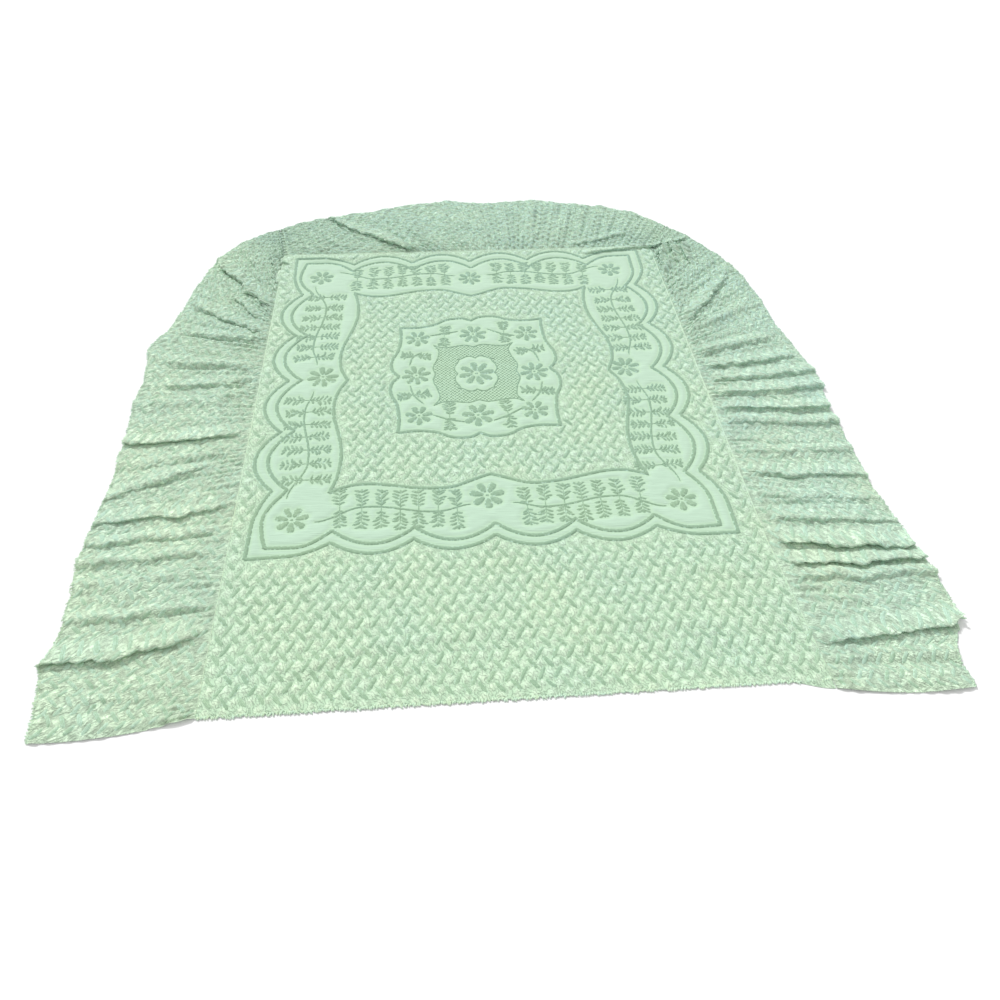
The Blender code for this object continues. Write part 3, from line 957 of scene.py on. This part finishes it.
def new_cotton(name, rough, sheen):
    """A matt, soft cotton: its material, its nodes and its shader."""
    material = bpy.data.materials.new(name)
    material.use_nodes = True
    tree = material.node_tree
    shader = tree.nodes["Principled BSDF"]
    shader.inputs["Roughness"].default_value = rough
    shader.inputs["Sheen Weight"].default_value = sheen
    shader.inputs["Sheen Roughness"].default_value = 0.5
    shader.inputs["Specular IOR Level"].default_value = 0.15
    return material, tree, shader


def far_shade_and_mottle(tree, place):
    """How far the colour turns to the paler, warmer ground: most at the head-left corner and least at the foot,
    which leaves painted shade, darker and bluer, towards the foot. It is also mottled in random patches.
    """
    mottle = add_node(tree, NOISE, {}, Vector=place, Scale=4.5, Detail=4.0)
    across = add_node(tree, "ShaderNodeSeparateXYZ", {}, place, take="X")
    slope = add_node(tree, MATH, MULTIPLY, across, -0.16)
    slope = add_node(tree, MATH, MULTIPLY_ADD, across.node.outputs["Y"], -0.34, slope)
    mottle = add_node(tree, MATH, MULTIPLY_ADD, mottle, 1.8, -0.4)
    return add_node(tree, "ShaderNodeClamp", {}, add_node(tree, MATH, ADD, slope, mottle))


def crinkles(tree, cut, slant, width, length, spread):
    """Fine slanting creases of puckered cloth, a width apart: 0 in each crease and 1 between them."""
    turn = (0.0, 0.0, math.radians(slant))
    size = (width, length, 1.0)
    place = add_node(tree, MAPPING, {"vector_type": "TEXTURE"}, Vector=cut, Rotation=turn, Scale=size)
    noise = add_node(tree, NOISE, {}, Vector=place, Scale=1.0, Detail=1.0)
    off = add_node(tree, MATH, ABSOLUTE, add_node(tree, MATH, SUBTRACT, noise, 0.5))
    return add_node(tree, RANGE, {}, off, 0.0, spread, 0.0, 1.0)


def cloth_material(name, colours, crinkled):
    """Woven cotton ground of a chenille: a pale puffed cloth with a fine weave, with painted shade in its
    hollows and creases and painted light on its puffs, and with long floats where the figured bands are plain.
    It gives the soft, matt, mottled green."""
    material, tree, shader = new_cotton(name, 0.92, 0.2)
    place = add_node(tree, "ShaderNodeTexCoord", {}, take="Object")
    cut = add_node(tree, "ShaderNodeUVMap", {"uv_map": "cut"})
    painted_shade = add_node(tree, "ShaderNodeAttribute", {"attribute_name": "painted_shade"}, take="Fac")
    plain = add_node(tree, "ShaderNodeAttribute", {"attribute_name": "plain"}, take="Fac")
    puffed = add_node(tree, MATH, SUBTRACT, 1.0, plain)
    ground, faded = (*colours.ground, 1), (*colours.ground_pale, 1)
    # Painted shade, darker and bluer, towards the foot; paler and warmer at the head-left corner; mottled at
    # random
    colour = add_node(tree, MIX, MIXED, far_shade_and_mottle(tree, place), ground, faded, take=MIX_COLOUR)
    colour = add_node(tree, MIX, MIXED, plain, colour, (*colours.band_ground, 1), take=MIX_COLOUR)
    # Painted shade beside the basket strokes and the figures, from the mesh attribute
    colour = add_node(tree, MIX, MIXED, painted_shade, colour, (*colours.painted_shade, 1), take=MIX_COLOUR)
    if crinkled:
        # Creases 10 to 24 mm apart on the flounce, where the gathers crush the weave
        fine = crinkles(tree, cut, 34.0, 0.010, 0.034, 0.085)
        crossing = crinkles(tree, cut, -16.0, 0.013, 0.030, 0.07)
        broad = crinkles(tree, cut, 22.0, 0.024, 0.060, 0.13)
        crossing = add_node(tree, MATH, MULTIPLY_ADD, crossing, 0.55, 0.45)
        broad = add_node(tree, MATH, MULTIPLY_ADD, broad, 0.5, 0.5)
        creases = add_node(tree, MATH, MULTIPLY, fine, add_node(tree, MATH, MULTIPLY, crossing, broad))
        # Pleats 9 mm apart that run out of the seam and die away 170 mm from it
        down = add_node(tree, "ShaderNodeSeparateXYZ", {}, cut, take="Y")
        away = add_node(tree, RANGE, {}, down, 0.04, 0.17, 0.0, 1.0)
        pleats = add_node(tree, MATH, LARGER, crinkles(tree, cut, 3.0, 0.009, 0.12, 0.11), away)
        pleats = add_node(tree, MATH, MULTIPLY_ADD, pleats, 0.75, 0.25)
        creases = add_node(tree, MATH, MULTIPLY, creases, pleats)
        # Puffs about 14 mm across, crushed out of the basket's rows, with painted light on each puff and
        # painted shade between them
        puffs = add_node(tree, NOISE, {}, Vector=place, Scale=70.0, Detail=2.0)
        creases = add_node(tree, MATH, MULTIPLY_ADD, add_node(tree, MATH, SUBTRACT, puffs, 0.5), 2.4, creases)
        # Painted shade in the creases and pleats and painted light on the puffs, as a tint on the colour; the
        # bump below uses the same creases
        painted_shading = add_node(tree, RANGE, {}, creases, -0.1, 1.15, 0.66, 1.18)
    else:
        # Puckers 8 mm apart on the panel, and none on its plain bands, with painted shade in each pucker
        creases = add_node(tree, MATH, LARGER, crinkles(tree, cut, 33.0, 0.008, 0.018, 0.06), plain)
        painted_shading = add_node(tree, RANGE, {}, creases, 0.0, 1.0, 0.80, 1.04)
    # Tints the colour with the painted shade and light of the creases and puckers
    colour = add_node(tree, MIX, TINTED, 1.0, colour, painted_shading, take=MIX_COLOUR)
    # Yarn nubs about 3 mm across
    nub = add_node(tree, NOISE, {}, Vector=place, Scale=330.0, Detail=2.0)
    speck = add_node(tree, MATH, MULTIPLY, add_node(tree, MATH, SUBTRACT, nub, 0.5), puffed)
    speck = add_node(tree, RANGE, {}, speck, -0.2, 0.2, 0.82, 1.14)
    colour = add_node(tree, MIX, TINTED, 1.0, colour, speck, take=MIX_COLOUR)
    # Long floats of the plain bands, about 3 mm apart and 70 mm long
    float_place = add_node(tree, MAPPING, {}, Vector=place, Scale=(14.0, 330.0, 1.0))
    floats = add_node(tree, NOISE, {}, Vector=float_place, Scale=1.0, Detail=2.0)
    streak = add_node(tree, MATH, MULTIPLY, add_node(tree, MATH, SUBTRACT, floats, 0.5), plain)
    streak = add_node(tree, RANGE, {}, streak, -0.2, 0.2, 0.93, 1.05)
    colour = add_node(tree, MIX, TINTED, 1.0, colour, streak, take=MIX_COLOUR)
    relief = add_node(tree, MATH, MULTIPLY_ADD, nub, puffed, add_node(tree, MATH, MULTIPLY, floats, plain))
    relief = add_node(tree, MATH, MULTIPLY_ADD, creases, 1.5 if crinkled else 0.9, relief)
    bump = add_node(tree, "ShaderNodeBump", {}, Height=relief, Strength=0.7, Distance=0.0024)
    tree.links.new(colour, shader.inputs["Base Color"])
    tree.links.new(bump, shader.inputs["Normal"])
    return material


def pile_material(name, light, dark, ground):
    """Cut chenille pile: short fuzzy rows about 3.5 mm apart along each stroke, thinning to the ground at its
    edge. It gives the raised, velvety strokes with soft borders."""
    material, tree, shader = new_cotton(name, 0.97, 0.25)
    place = add_node(tree, "ShaderNodeTexCoord", {}, take="Object")
    tone = add_node(tree, "ShaderNodeAttribute", {"attribute_name": "tone"}, take="Fac")
    stroke = add_node(tree, "ShaderNodeAttribute", {"attribute_name": "stroke"}, take="Vector")
    across = add_node(tree, "ShaderNodeSeparateXYZ", {}, stroke, take="Y")
    edge = across.node.outputs["Z"]
    fuzz = add_node(tree, NOISE, {}, Vector=place, Scale=520.0, Detail=2.0)
    clump = add_node(tree, NOISE, {}, Vector=place, Scale=150.0, Detail=2.0)
    phase = add_node(tree, MATH, MULTIPLY, clump, 5.0)
    rows = add_node(tree, MATH, SINE, add_node(tree, MATH, MULTIPLY_ADD, across, 2 * math.pi / PILE_ROW, phase))
    shade = add_node(tree, MATH, MULTIPLY_ADD, clump, 1.3, -0.45)
    shade = add_node(tree, MATH, MULTIPLY_ADD, rows, 0.20, shade)
    shade = add_node(tree, MATH, MULTIPLY_ADD, add_node(tree, MATH, SUBTRACT, fuzz, 0.5), 1.6, shade)
    shade = add_node(tree, "ShaderNodeClamp", {}, add_node(tree, MATH, MULTIPLY_ADD, tone, 0.4, shade))
    colour = add_node(tree, MIX, MIXED, shade, (*dark, 1), (*light, 1), take=MIX_COLOUR)
    ragged = add_node(tree, MATH, MULTIPLY_ADD, add_node(tree, MATH, SUBTRACT, clump, 0.5), 2.2, edge)
    thinned = add_node(tree, RANGE, {}, ragged, 0.72, 1.12, 0.0, 1.0)
    colour = add_node(tree, MIX, MIXED, thinned, colour, (*ground, 1), take=MIX_COLOUR)
    # A cooler tint towards the foot, as painted shade there, and a warmer one at the head-left corner
    fade = far_shade_and_mottle(tree, place)
    cool_shade_tint = add_node(tree, MIX, MIXED, fade, (0.94, 0.98, 1.06, 1.0), (1.02, 1.01, 0.97, 1.0), take=MIX_COLOUR)
    colour = add_node(tree, MIX, TINTED, 1.0, colour, cool_shade_tint, take=MIX_COLOUR)
    relief = add_node(tree, MATH, MULTIPLY_ADD, rows, 0.25, add_node(tree, MATH, ADD, fuzz, clump))
    bump = add_node(tree, "ShaderNodeBump", {}, Height=relief, Strength=0.7, Distance=0.0020)
    tree.links.new(colour, shader.inputs["Base Color"])
    tree.links.new(bump, shader.inputs["Normal"])
    return material


def shared_material(key, maker):
    """The material of this name, made the first time it is asked for."""
    return bpy.data.materials.get(key) or maker(key)


class BedspreadSizes(bpy.types.PropertyGroup):
    """Sizes a user would change"""

    puff_height: bpy.props.FloatProperty(
        name="Puff", description="Height of the puffs between basket strokes", default=0.0042, unit="LENGTH"
    )
    line_width: bpy.props.FloatProperty(
        name="Line", description="Width of the scalloped and ogee lines", default=0.0135, unit="LENGTH"
    )
    line_height: bpy.props.FloatProperty(
        name="Line height", description="Height of the lines' pile", default=0.0024, unit="LENGTH"
    )
    cloth_pitch: bpy.props.FloatProperty(
        name="Panel grid", description="Spacing of the panel's faces", default=0.0058, unit="LENGTH"
    )
    flounce_pitch: bpy.props.FloatProperty(
        name="Flounce grid", description="Spacing of the flounce's faces", default=0.0040, unit="LENGTH"
    )


class BedspreadColours(bpy.types.PropertyGroup):
    """Colours of the dyed cotton and of its painted shade"""

    ground: bpy.props.FloatVectorProperty(
        name="Ground", description="Puffed ground", subtype="COLOR", default=linear("#cbead7")
    # Paler, warmer ground: mixed in towards the head-left corner, with painted shade left towards the foot, and
    # in random mottled patches; also the hems' ends
    )
    ground_pale: bpy.props.FloatVectorProperty(
        name="Faded ground",
        description="Ground where it has faded",
        subtype="COLOR",
        default=linear("#dbf2d3"),
    )
    band_ground: bpy.props.FloatVectorProperty(
        name="Band ground",
        description="Plain ground of the figured bands",
        subtype="COLOR",
        default=linear("#bcd8c1"),
    )
    # Painted shade: the ground's colour beside the basket strokes and the figures, where the cloth dips
    painted_shade: bpy.props.FloatVectorProperty(
        name="Painted shade colour",
        description="Ground beside the basket strokes",
        subtype="COLOR",
        default=linear("#bcdabb"),
    )
    pile_light: bpy.props.FloatVectorProperty(
        name="Pile, light", description="Pile tips", subtype="COLOR", default=linear("#bedcbd")
    )
    pile_dark: bpy.props.FloatVectorProperty(
        name="Pile, dark", description="Pile roots", subtype="COLOR", default=linear("#95b598")
    )
    flounce_pile: bpy.props.FloatVectorProperty(
        name="Flounce pile",
        description="Roots of the flounce's pile",
        subtype="COLOR",
        default=linear("#a5c6a6"),
    )
    floor: bpy.props.FloatVectorProperty(
        name="Floor", description="Studio floor", subtype="COLOR", default=linear("#f8f8f8")
    )


class BedspreadSettings(bpy.types.PropertyGroup):
    """Everything the bedspread's operators read"""

    sizes: bpy.props.PointerProperty(type=BedspreadSizes)
    colours: bpy.props.PointerProperty(type=BedspreadColours)


def panel_pile(colours):
    """The panel's cut pile, whose dark roots draw the strokes and figures on the pale ground."""
    shades = (colours.pile_light, colours.pile_dark, colours.ground)
    return shared_material("panel_chenille_pile", lambda key: pile_material(key, *shades))


def flounce_pile(colours):
    """The flounce's cut pile, paler than the panel's, so that its strokes sink into the gathers."""
    shades = (colours.ground, colours.flounce_pile, colours.ground)
    return shared_material("flounce_chenille_pile", lambda key: pile_material(key, *shades))


def hem_cotton(colours):
    """The short pale cotton ends along the hems and the seam."""
    shades = (colours.ground, colours.ground_pale, colours.ground)
    return shared_material("hem_cotton", lambda key: pile_material(key, *shades))


class BEDSPREAD_OT_panel(bpy.types.Operator):
    """Lays the centre panel's cloth, puffed between the basket strokes"""

    bl_idname = "bedspread.panel"
    bl_label = "Centre panel"

    def execute(self, context):
        """Figures first, because the cloth sinks beside them."""
        sizes, colours = context.scene.bedspread.sizes, context.scene.bedspread.colours
        columns = round(PANEL_WIDTH / sizes.cloth_pitch)
        rows = round(PANEL_LENGTH / sizes.cloth_pitch)
        piece, along, across = cloth_grid("panel_cloth", columns, rows)
        up = HEAD_EDGE + across * (PANEL_LENGTH - HEAD_EDGE)
        x = along * (PANEL_WIDTH + right_seam(up))
        head_dip = (HEAD_DIP + HEAD_EDGE) * ramp(DIP_START, PANEL_WIDTH + HEAD_SPREAD, x)
        y = up - head_dip * (1 - ramp(0.0, 0.12, up))
        plain = plain_ground(np.column_stack((x, y)))
        figures = self.figures(sizes, colours)
        flat = panel_lay(x, y)
        beside = clearance(figures, flat)
        distance = basket_hollow(x, y)
        basket = np.where(plain, 0.0, 1.0)
        puff = np.where(plain, PLAIN_PUFF, ramp(STROKE_EDGE, PUFF_FULL, distance))
        puff = sizes.puff_height * puff * ramp(0.002, 0.012, beside)
        puff *= ramp(0.0, 0.012, from_edge(x, up))
        points = flat + normal_of(panel_lay, x, y) * puff[:, None]
        rolled = ramp(0.010, 0.0, up - HEAD_EDGE)
        points[:, 2] -= 0.0018 * rolled
        # Painted shade beside the basket strokes, and beside the figures where the cloth sinks
        painted_stroke_shade = basket * (1 - ramp(STROKE_EDGE, PAINTED_SHADE_END, distance))
        painted_shade = PANEL_PAINTED_SHADE * np.maximum(painted_stroke_shade, 1 - ramp(0.002, 0.009, beside))
        finish_cloth(
            piece,
            points,
            (PANEL_WIDTH, PANEL_LENGTH),
            {"painted_shade": painted_shade, "plain": plain.astype(float)},
        )
        piece.data.materials.append(
            shared_material("figured_chenille_ground", lambda key: cloth_material(key, colours, False))
        )
        pile = self.basket(figures, colours)
        seam = self.seam(colours)
        for other in (piece, pile, figures, seam):
            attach(other, BODY)
        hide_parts("centre_panel")
        return {"FINISHED"}

    def basket(self, figures, colours):
        """The basket pile of the head field, the margins and the ground round the medallion."""
        rng = np.random.default_rng(11)
        tufts = basket_tufts((0.006, PANEL_WIDTH + HEAD_SPREAD), (-0.02, PANEL_LENGTH - 0.006), rng)
        x, y = tufts[:, 0], tufts[:, 1]
        on_cloth = (x < PANEL_WIDTH + right_seam(y) - 0.006) & (y > 0.004)
        tufts = tufts[on_cloth & ~plain_ground(tufts[:, :2])]
        for end in (-1, 0, 1):
            tip = end * tufts[:, 3] * 0.8
            tip_x = tufts[:, 0] + tip * np.cos(tufts[:, 2])
            tip_y = tufts[:, 1] + tip * np.sin(tufts[:, 2])
            tufts = tufts[clearance(figures, panel_lay(tip_x, tip_y)) > 0.006]
        pile = joined("panel_basket_pile", [tuft_arrays(tufts, panel_lay)])
        pile.data.materials.append(panel_pile(colours))
        return pile

    def figures(self, sizes, colours):
        """Scalloped and ogee lines, flowers, sprigs, tendrils and lattice."""
        rng = np.random.default_rng(23)

        def lay(x, y):
            """Where a place of the design lies."""
            return panel_lay(x + FIGURE_CORNER[0], y + FIGURE_CORNER[1])

        half = sizes.line_width / 2
        parts = []
        for loop in (OUTER_LOOP, INNER_LOOP, BAND_LOOP, MEDAL_LOOP):
            parts.append(ribbon_arrays(loop, half, sizes.line_height, lay, closed=True))
        for loop in (LATTICE_LOOP, WINDOW_LOOP):
            parts.append(ribbon_arrays(loop, 0.4 * half, 0.6 * sizes.line_height, lay, closed=True))
        for line in stem_lines():
            parts.append(ribbon_arrays(line, 0.0044, 0.0018, lay))
        petals = [tuft for flower in FLOWERS for tuft in flower_tufts(flower, rng)]
        parts.append(tuft_arrays(petals, lay, cells=(8, 6), flare=0.34, blunt=2.2, tones=(-0.6, 0.1)))
        leaves = band_tufts(rng) + medallion_tufts(rng)
        parts.append(tuft_arrays(leaves, lay, cells=(4, 3), tones=(-0.6, 0.2)))
        parts.append(tuft_arrays(lattice_tufts(rng), lay, cells=(3, 3), tones=(-1.1, -0.6)))
        figures = joined("panel_figures", parts)
        figures.data.materials.append(panel_pile(colours))
        return figures

    def seam(self, colours):
        """The seam that joins the panel to the flounce, a thin raised line."""
        up = np.linspace(0.0, PANEL_LENGTH, 240)
        across = np.linspace(0.0, PANEL_WIDTH, 180)
        right = up[::-1]
        line = np.concatenate(
            (
                np.column_stack((np.zeros_like(up), up)),
                np.column_stack((across[1:], np.full(len(across) - 1, PANEL_LENGTH))),
                np.column_stack((PANEL_WIDTH + right_seam(right[1:]), right[1:])),
            )
        )
        hem = edge_tufts(panel_lay, PANEL_WIDTH + HEAD_SPREAD, HEAD_EDGE, 17)
        seam = joined("seam_and_head_hem", [ribbon_arrays(line, SEAM_HALF, SEAM_HEIGHT, panel_lay), hem])
        seam.data.materials.append(hem_cotton(colours))
        return seam


def edge_tufts(lay, length, edge, seed, turn=1.0):
    """Short tufts that stand out all along a hem."""
    rng = np.random.default_rng(seed)
    count = round(length / 0.0042)
    place = (np.arange(count) + rng.uniform(0.2, 0.8, count)) * length / count
    outward = 1.0 if edge > 0 else -1.0
    tufts = np.column_stack(
        (
            place,
            edge + outward * rng.normal(-0.0005, 0.0016, count),
            math.pi / 2 + rng.normal(0.0, 0.5, count),
            rng.uniform(0.003, 0.0062, count),
            rng.uniform(0.0018, 0.0028, count),
            rng.uniform(0.0012, 0.0024, count),
            rng.normal(0.0, 0.001, count),
        )
    )
    return tuft_arrays(tufts, lay, turn, cells=(3, 3), lift=0.0003)


class BEDSPREAD_OT_flounces(bpy.types.Operator):
    """Lays the three gathered lengths of flounce with their basket pile and their hems"""

    bl_idname = "bedspread.flounces"
    bl_label = "Flounces"

    def execute(self, context):
        """Each length is a cloth, its pile and its hem."""
        sizes, colours = context.scene.bedspread.sizes, context.scene.bedspread.colours
        for cut in FLOUNCES:
            cloth = self.cloth(cut, sizes, colours)
            pile = self.pile(cut, colours)
            edge = edge_tufts(cut.lay, cut.length, FLOUNCE_DEPTH, cut.seed + 13, cut.turn)
            hem = joined(cut.name + "_hem", [edge])
            hem.data.materials.append(hem_cotton(colours))
            for piece in (cloth, pile, hem):
                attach(piece, BODY)
            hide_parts(cut.name)
        return {"FINISHED"}

    def cloth(self, cut, sizes, colours):
        """The gathered cloth, puffed more towards the foot."""
        columns = round(cut.length / sizes.flounce_pitch)
        rows = round(FLOUNCE_DEPTH / sizes.flounce_pitch)
        piece, along, across = cloth_grid(cut.name + "_cloth", columns, rows)
        a, b = along * cut.length, across * FLOUNCE_DEPTH
        distance = basket_hollow(b, a)
        flat = cut.lay(a, b)
        share = ramp(CRUSHED_UP, FULL_UP, flat[:, 1] - CORNER[1])
        puffed = CRUSHED_PUFF + (FULL_PUFF - CRUSHED_PUFF) * share
        puff = puffed * sizes.puff_height * ramp(STROKE_EDGE, PUFF_FULL, distance) * ramp(0.0, 0.02, b)
        puff *= 1 - 0.8 * ramp(0.985, 1.0, across)
        points = flat + normal_of(cut.lay, a, b, cut.turn) * puff[:, None]
        # Painted shade beside the strokes, darker where the puffs are fuller towards the foot
        painted_shade = (1 - ramp(STROKE_EDGE, PAINTED_SHADE_END, distance)) * FLOUNCE_PAINTED_SHADE * puffed
        finish_cloth(
            piece,
            points,
            (cut.length, FLOUNCE_DEPTH),
            {"painted_shade": painted_shade, "plain": np.zeros(len(a))},
            cut.turn,
        )
        piece.data.materials.append(
            shared_material("flounce_chenille_ground", lambda key: cloth_material(key, colours, True))
        )
        return piece

    def pile(self, cut, colours):
        """The basket strokes, turned so that their rows run down from the seam."""
        rng = np.random.default_rng(cut.seed + 9)
        tufts = basket_tufts((0.010, FLOUNCE_DEPTH - 0.004), (0.004, cut.length - 0.004), rng, 1.8)
        turned = tufts.copy()
        turned[:, 0], turned[:, 1] = tufts[:, 1], tufts[:, 0]
        turned[:, 2] = math.pi / 2 - tufts[:, 2]
        turned[:, 0] = np.clip(turned[:, 0], 0.012, cut.length - 0.012)
        pile = joined(cut.name + "_pile", [tuft_arrays(turned, cut.lay, cut.turn)])
        pile.data.materials.append(flounce_pile(colours))
        return pile


# Camera and light
CAMERA_PLACE = (0.6004, -0.8528, 1.6764)  # from the panel's head-left corner
CAMERA_PITCH = 48.667                     # degrees down
CAMERA_YAW = 5.574                        # degrees to the right
CAMERA_ROLL = 1.584                       # degrees
CAMERA_LENS = 28.08
SENSOR = 36.0
FLOOR_SIZE = 14.0
FLOOR_PLACE = (0.0, 1.5, 0.0)
ROOM_LIGHT = 0.71                         # even light from all round
KEY_LIGHT = 2.25
KEY_SPREAD = 9                            # degrees, for soft shadow edges
KEY_DIRECTION = (-0.42, 0.78, 0.78)       # towards the light


class BEDSPREAD_OT_stage(bpy.types.Operator):
    """Sets up the floor, the soft studio light and the camera"""

    bl_idname = "bedspread.stage"
    bl_label = "Stage"

    def execute(self, context):
        """Floor, light and camera."""
        colours = context.scene.bedspread.colours
        bpy.ops.object.select_all(action="DESELECT")
        bpy.ops.mesh.primitive_plane_add(size=FLOOR_SIZE, location=FLOOR_PLACE)
        floor = context.object
        floor.name = "studio_floor"
        # Matt studio paper: an even pale floor without gloss
        paper = bpy.data.materials.new("matt_studio_paper")
        paper.use_nodes = True
        shader = paper.node_tree.nodes["Principled BSDF"]
        shader.inputs["Base Color"].default_value = (*colours.floor, 1)
        shader.inputs["Roughness"].default_value = 0.9
        shader.inputs["Specular IOR Level"].default_value = 0.1
        floor.data.materials.append(paper)

        world = bpy.data.worlds.new("studio")
        world.use_nodes = True
        background = world.node_tree.nodes["Background"]
        background.inputs["Color"].default_value = (1.0, 1.0, 1.0, 1.0)
        background.inputs["Strength"].default_value = ROOM_LIGHT
        context.scene.world = world
        sun = bpy.data.lights.new("key_light", "SUN")
        sun.energy = KEY_LIGHT
        sun.angle = math.radians(KEY_SPREAD)
        key = bpy.data.objects.new("key_light", sun)
        key.rotation_euler = Vector(KEY_DIRECTION).to_track_quat("Z", "Y").to_euler()
        context.scene.collection.objects.link(key)

        pitch, yaw, roll = (math.radians(v) for v in (CAMERA_PITCH, CAMERA_YAW, CAMERA_ROLL))
        ahead = Vector((math.sin(yaw) * math.cos(pitch), math.cos(yaw) * math.cos(pitch), -math.sin(pitch)))
        right = Vector((math.cos(yaw), -math.sin(yaw), 0.0))
        up = right.cross(ahead)
        rolled_right = right * math.cos(roll) + up * math.sin(roll)
        rolled_up = up * math.cos(roll) - right * math.sin(roll)
        lens = bpy.data.cameras.new("camera")
        lens.lens = CAMERA_LENS
        lens.sensor_width = SENSOR
        camera = bpy.data.objects.new("camera", lens)
        camera.matrix_world = Matrix.Translation(Vector(CORNER) + Vector(CAMERA_PLACE)) @ Matrix(
            (rolled_right, rolled_up, -ahead)
        ).transposed().to_4x4()
        context.scene.collection.objects.link(camera)
        context.scene.camera = camera
        context.scene.view_settings.view_transform = "Standard"
        return {"FINISHED"}


class BEDSPREAD_PT_panel(bpy.types.Panel):
    """Sidebar panel that lists the bedspread's settings and steps"""

    bl_idname = "BEDSPREAD_PT_panel"
    bl_label = "Chenille Bedspread"
    bl_space_type = "VIEW_3D"
    bl_region_type = "UI"
    bl_category = "Bedspread"

    def draw(self, context):
        """Every setting, and a button for each step."""
        settings = context.scene.bedspread
        for group in (settings.sizes, settings.colours):
            box = self.layout.box()
            for name in group.__annotations__:
                box.prop(group, name)
        for step in OPERATORS:
            self.layout.operator(step.bl_idname)


OPERATORS = (BEDSPREAD_OT_panel, BEDSPREAD_OT_flounces, BEDSPREAD_OT_stage)
CLASSES = (BedspreadSizes, BedspreadColours, BedspreadSettings, *OPERATORS, BEDSPREAD_PT_panel)


def register():
    """Adds the classes and the scene's settings."""
    for cls in CLASSES:
        bpy.utils.register_class(cls)
    bpy.types.Scene.bedspread = bpy.props.PointerProperty(type=BedspreadSettings)


def unregister():
    """Removes them again."""
    del bpy.types.Scene.bedspread
    for cls in reversed(CLASSES):
        bpy.utils.unregister_class(cls)


def main():
    """Builds the bedspread and its stage."""
    register()
    bpy.ops.bedspread.panel()
    bpy.ops.bedspread.flounces()
    bpy.ops.bedspread.stage()


if __name__ == "__main__":
    main()
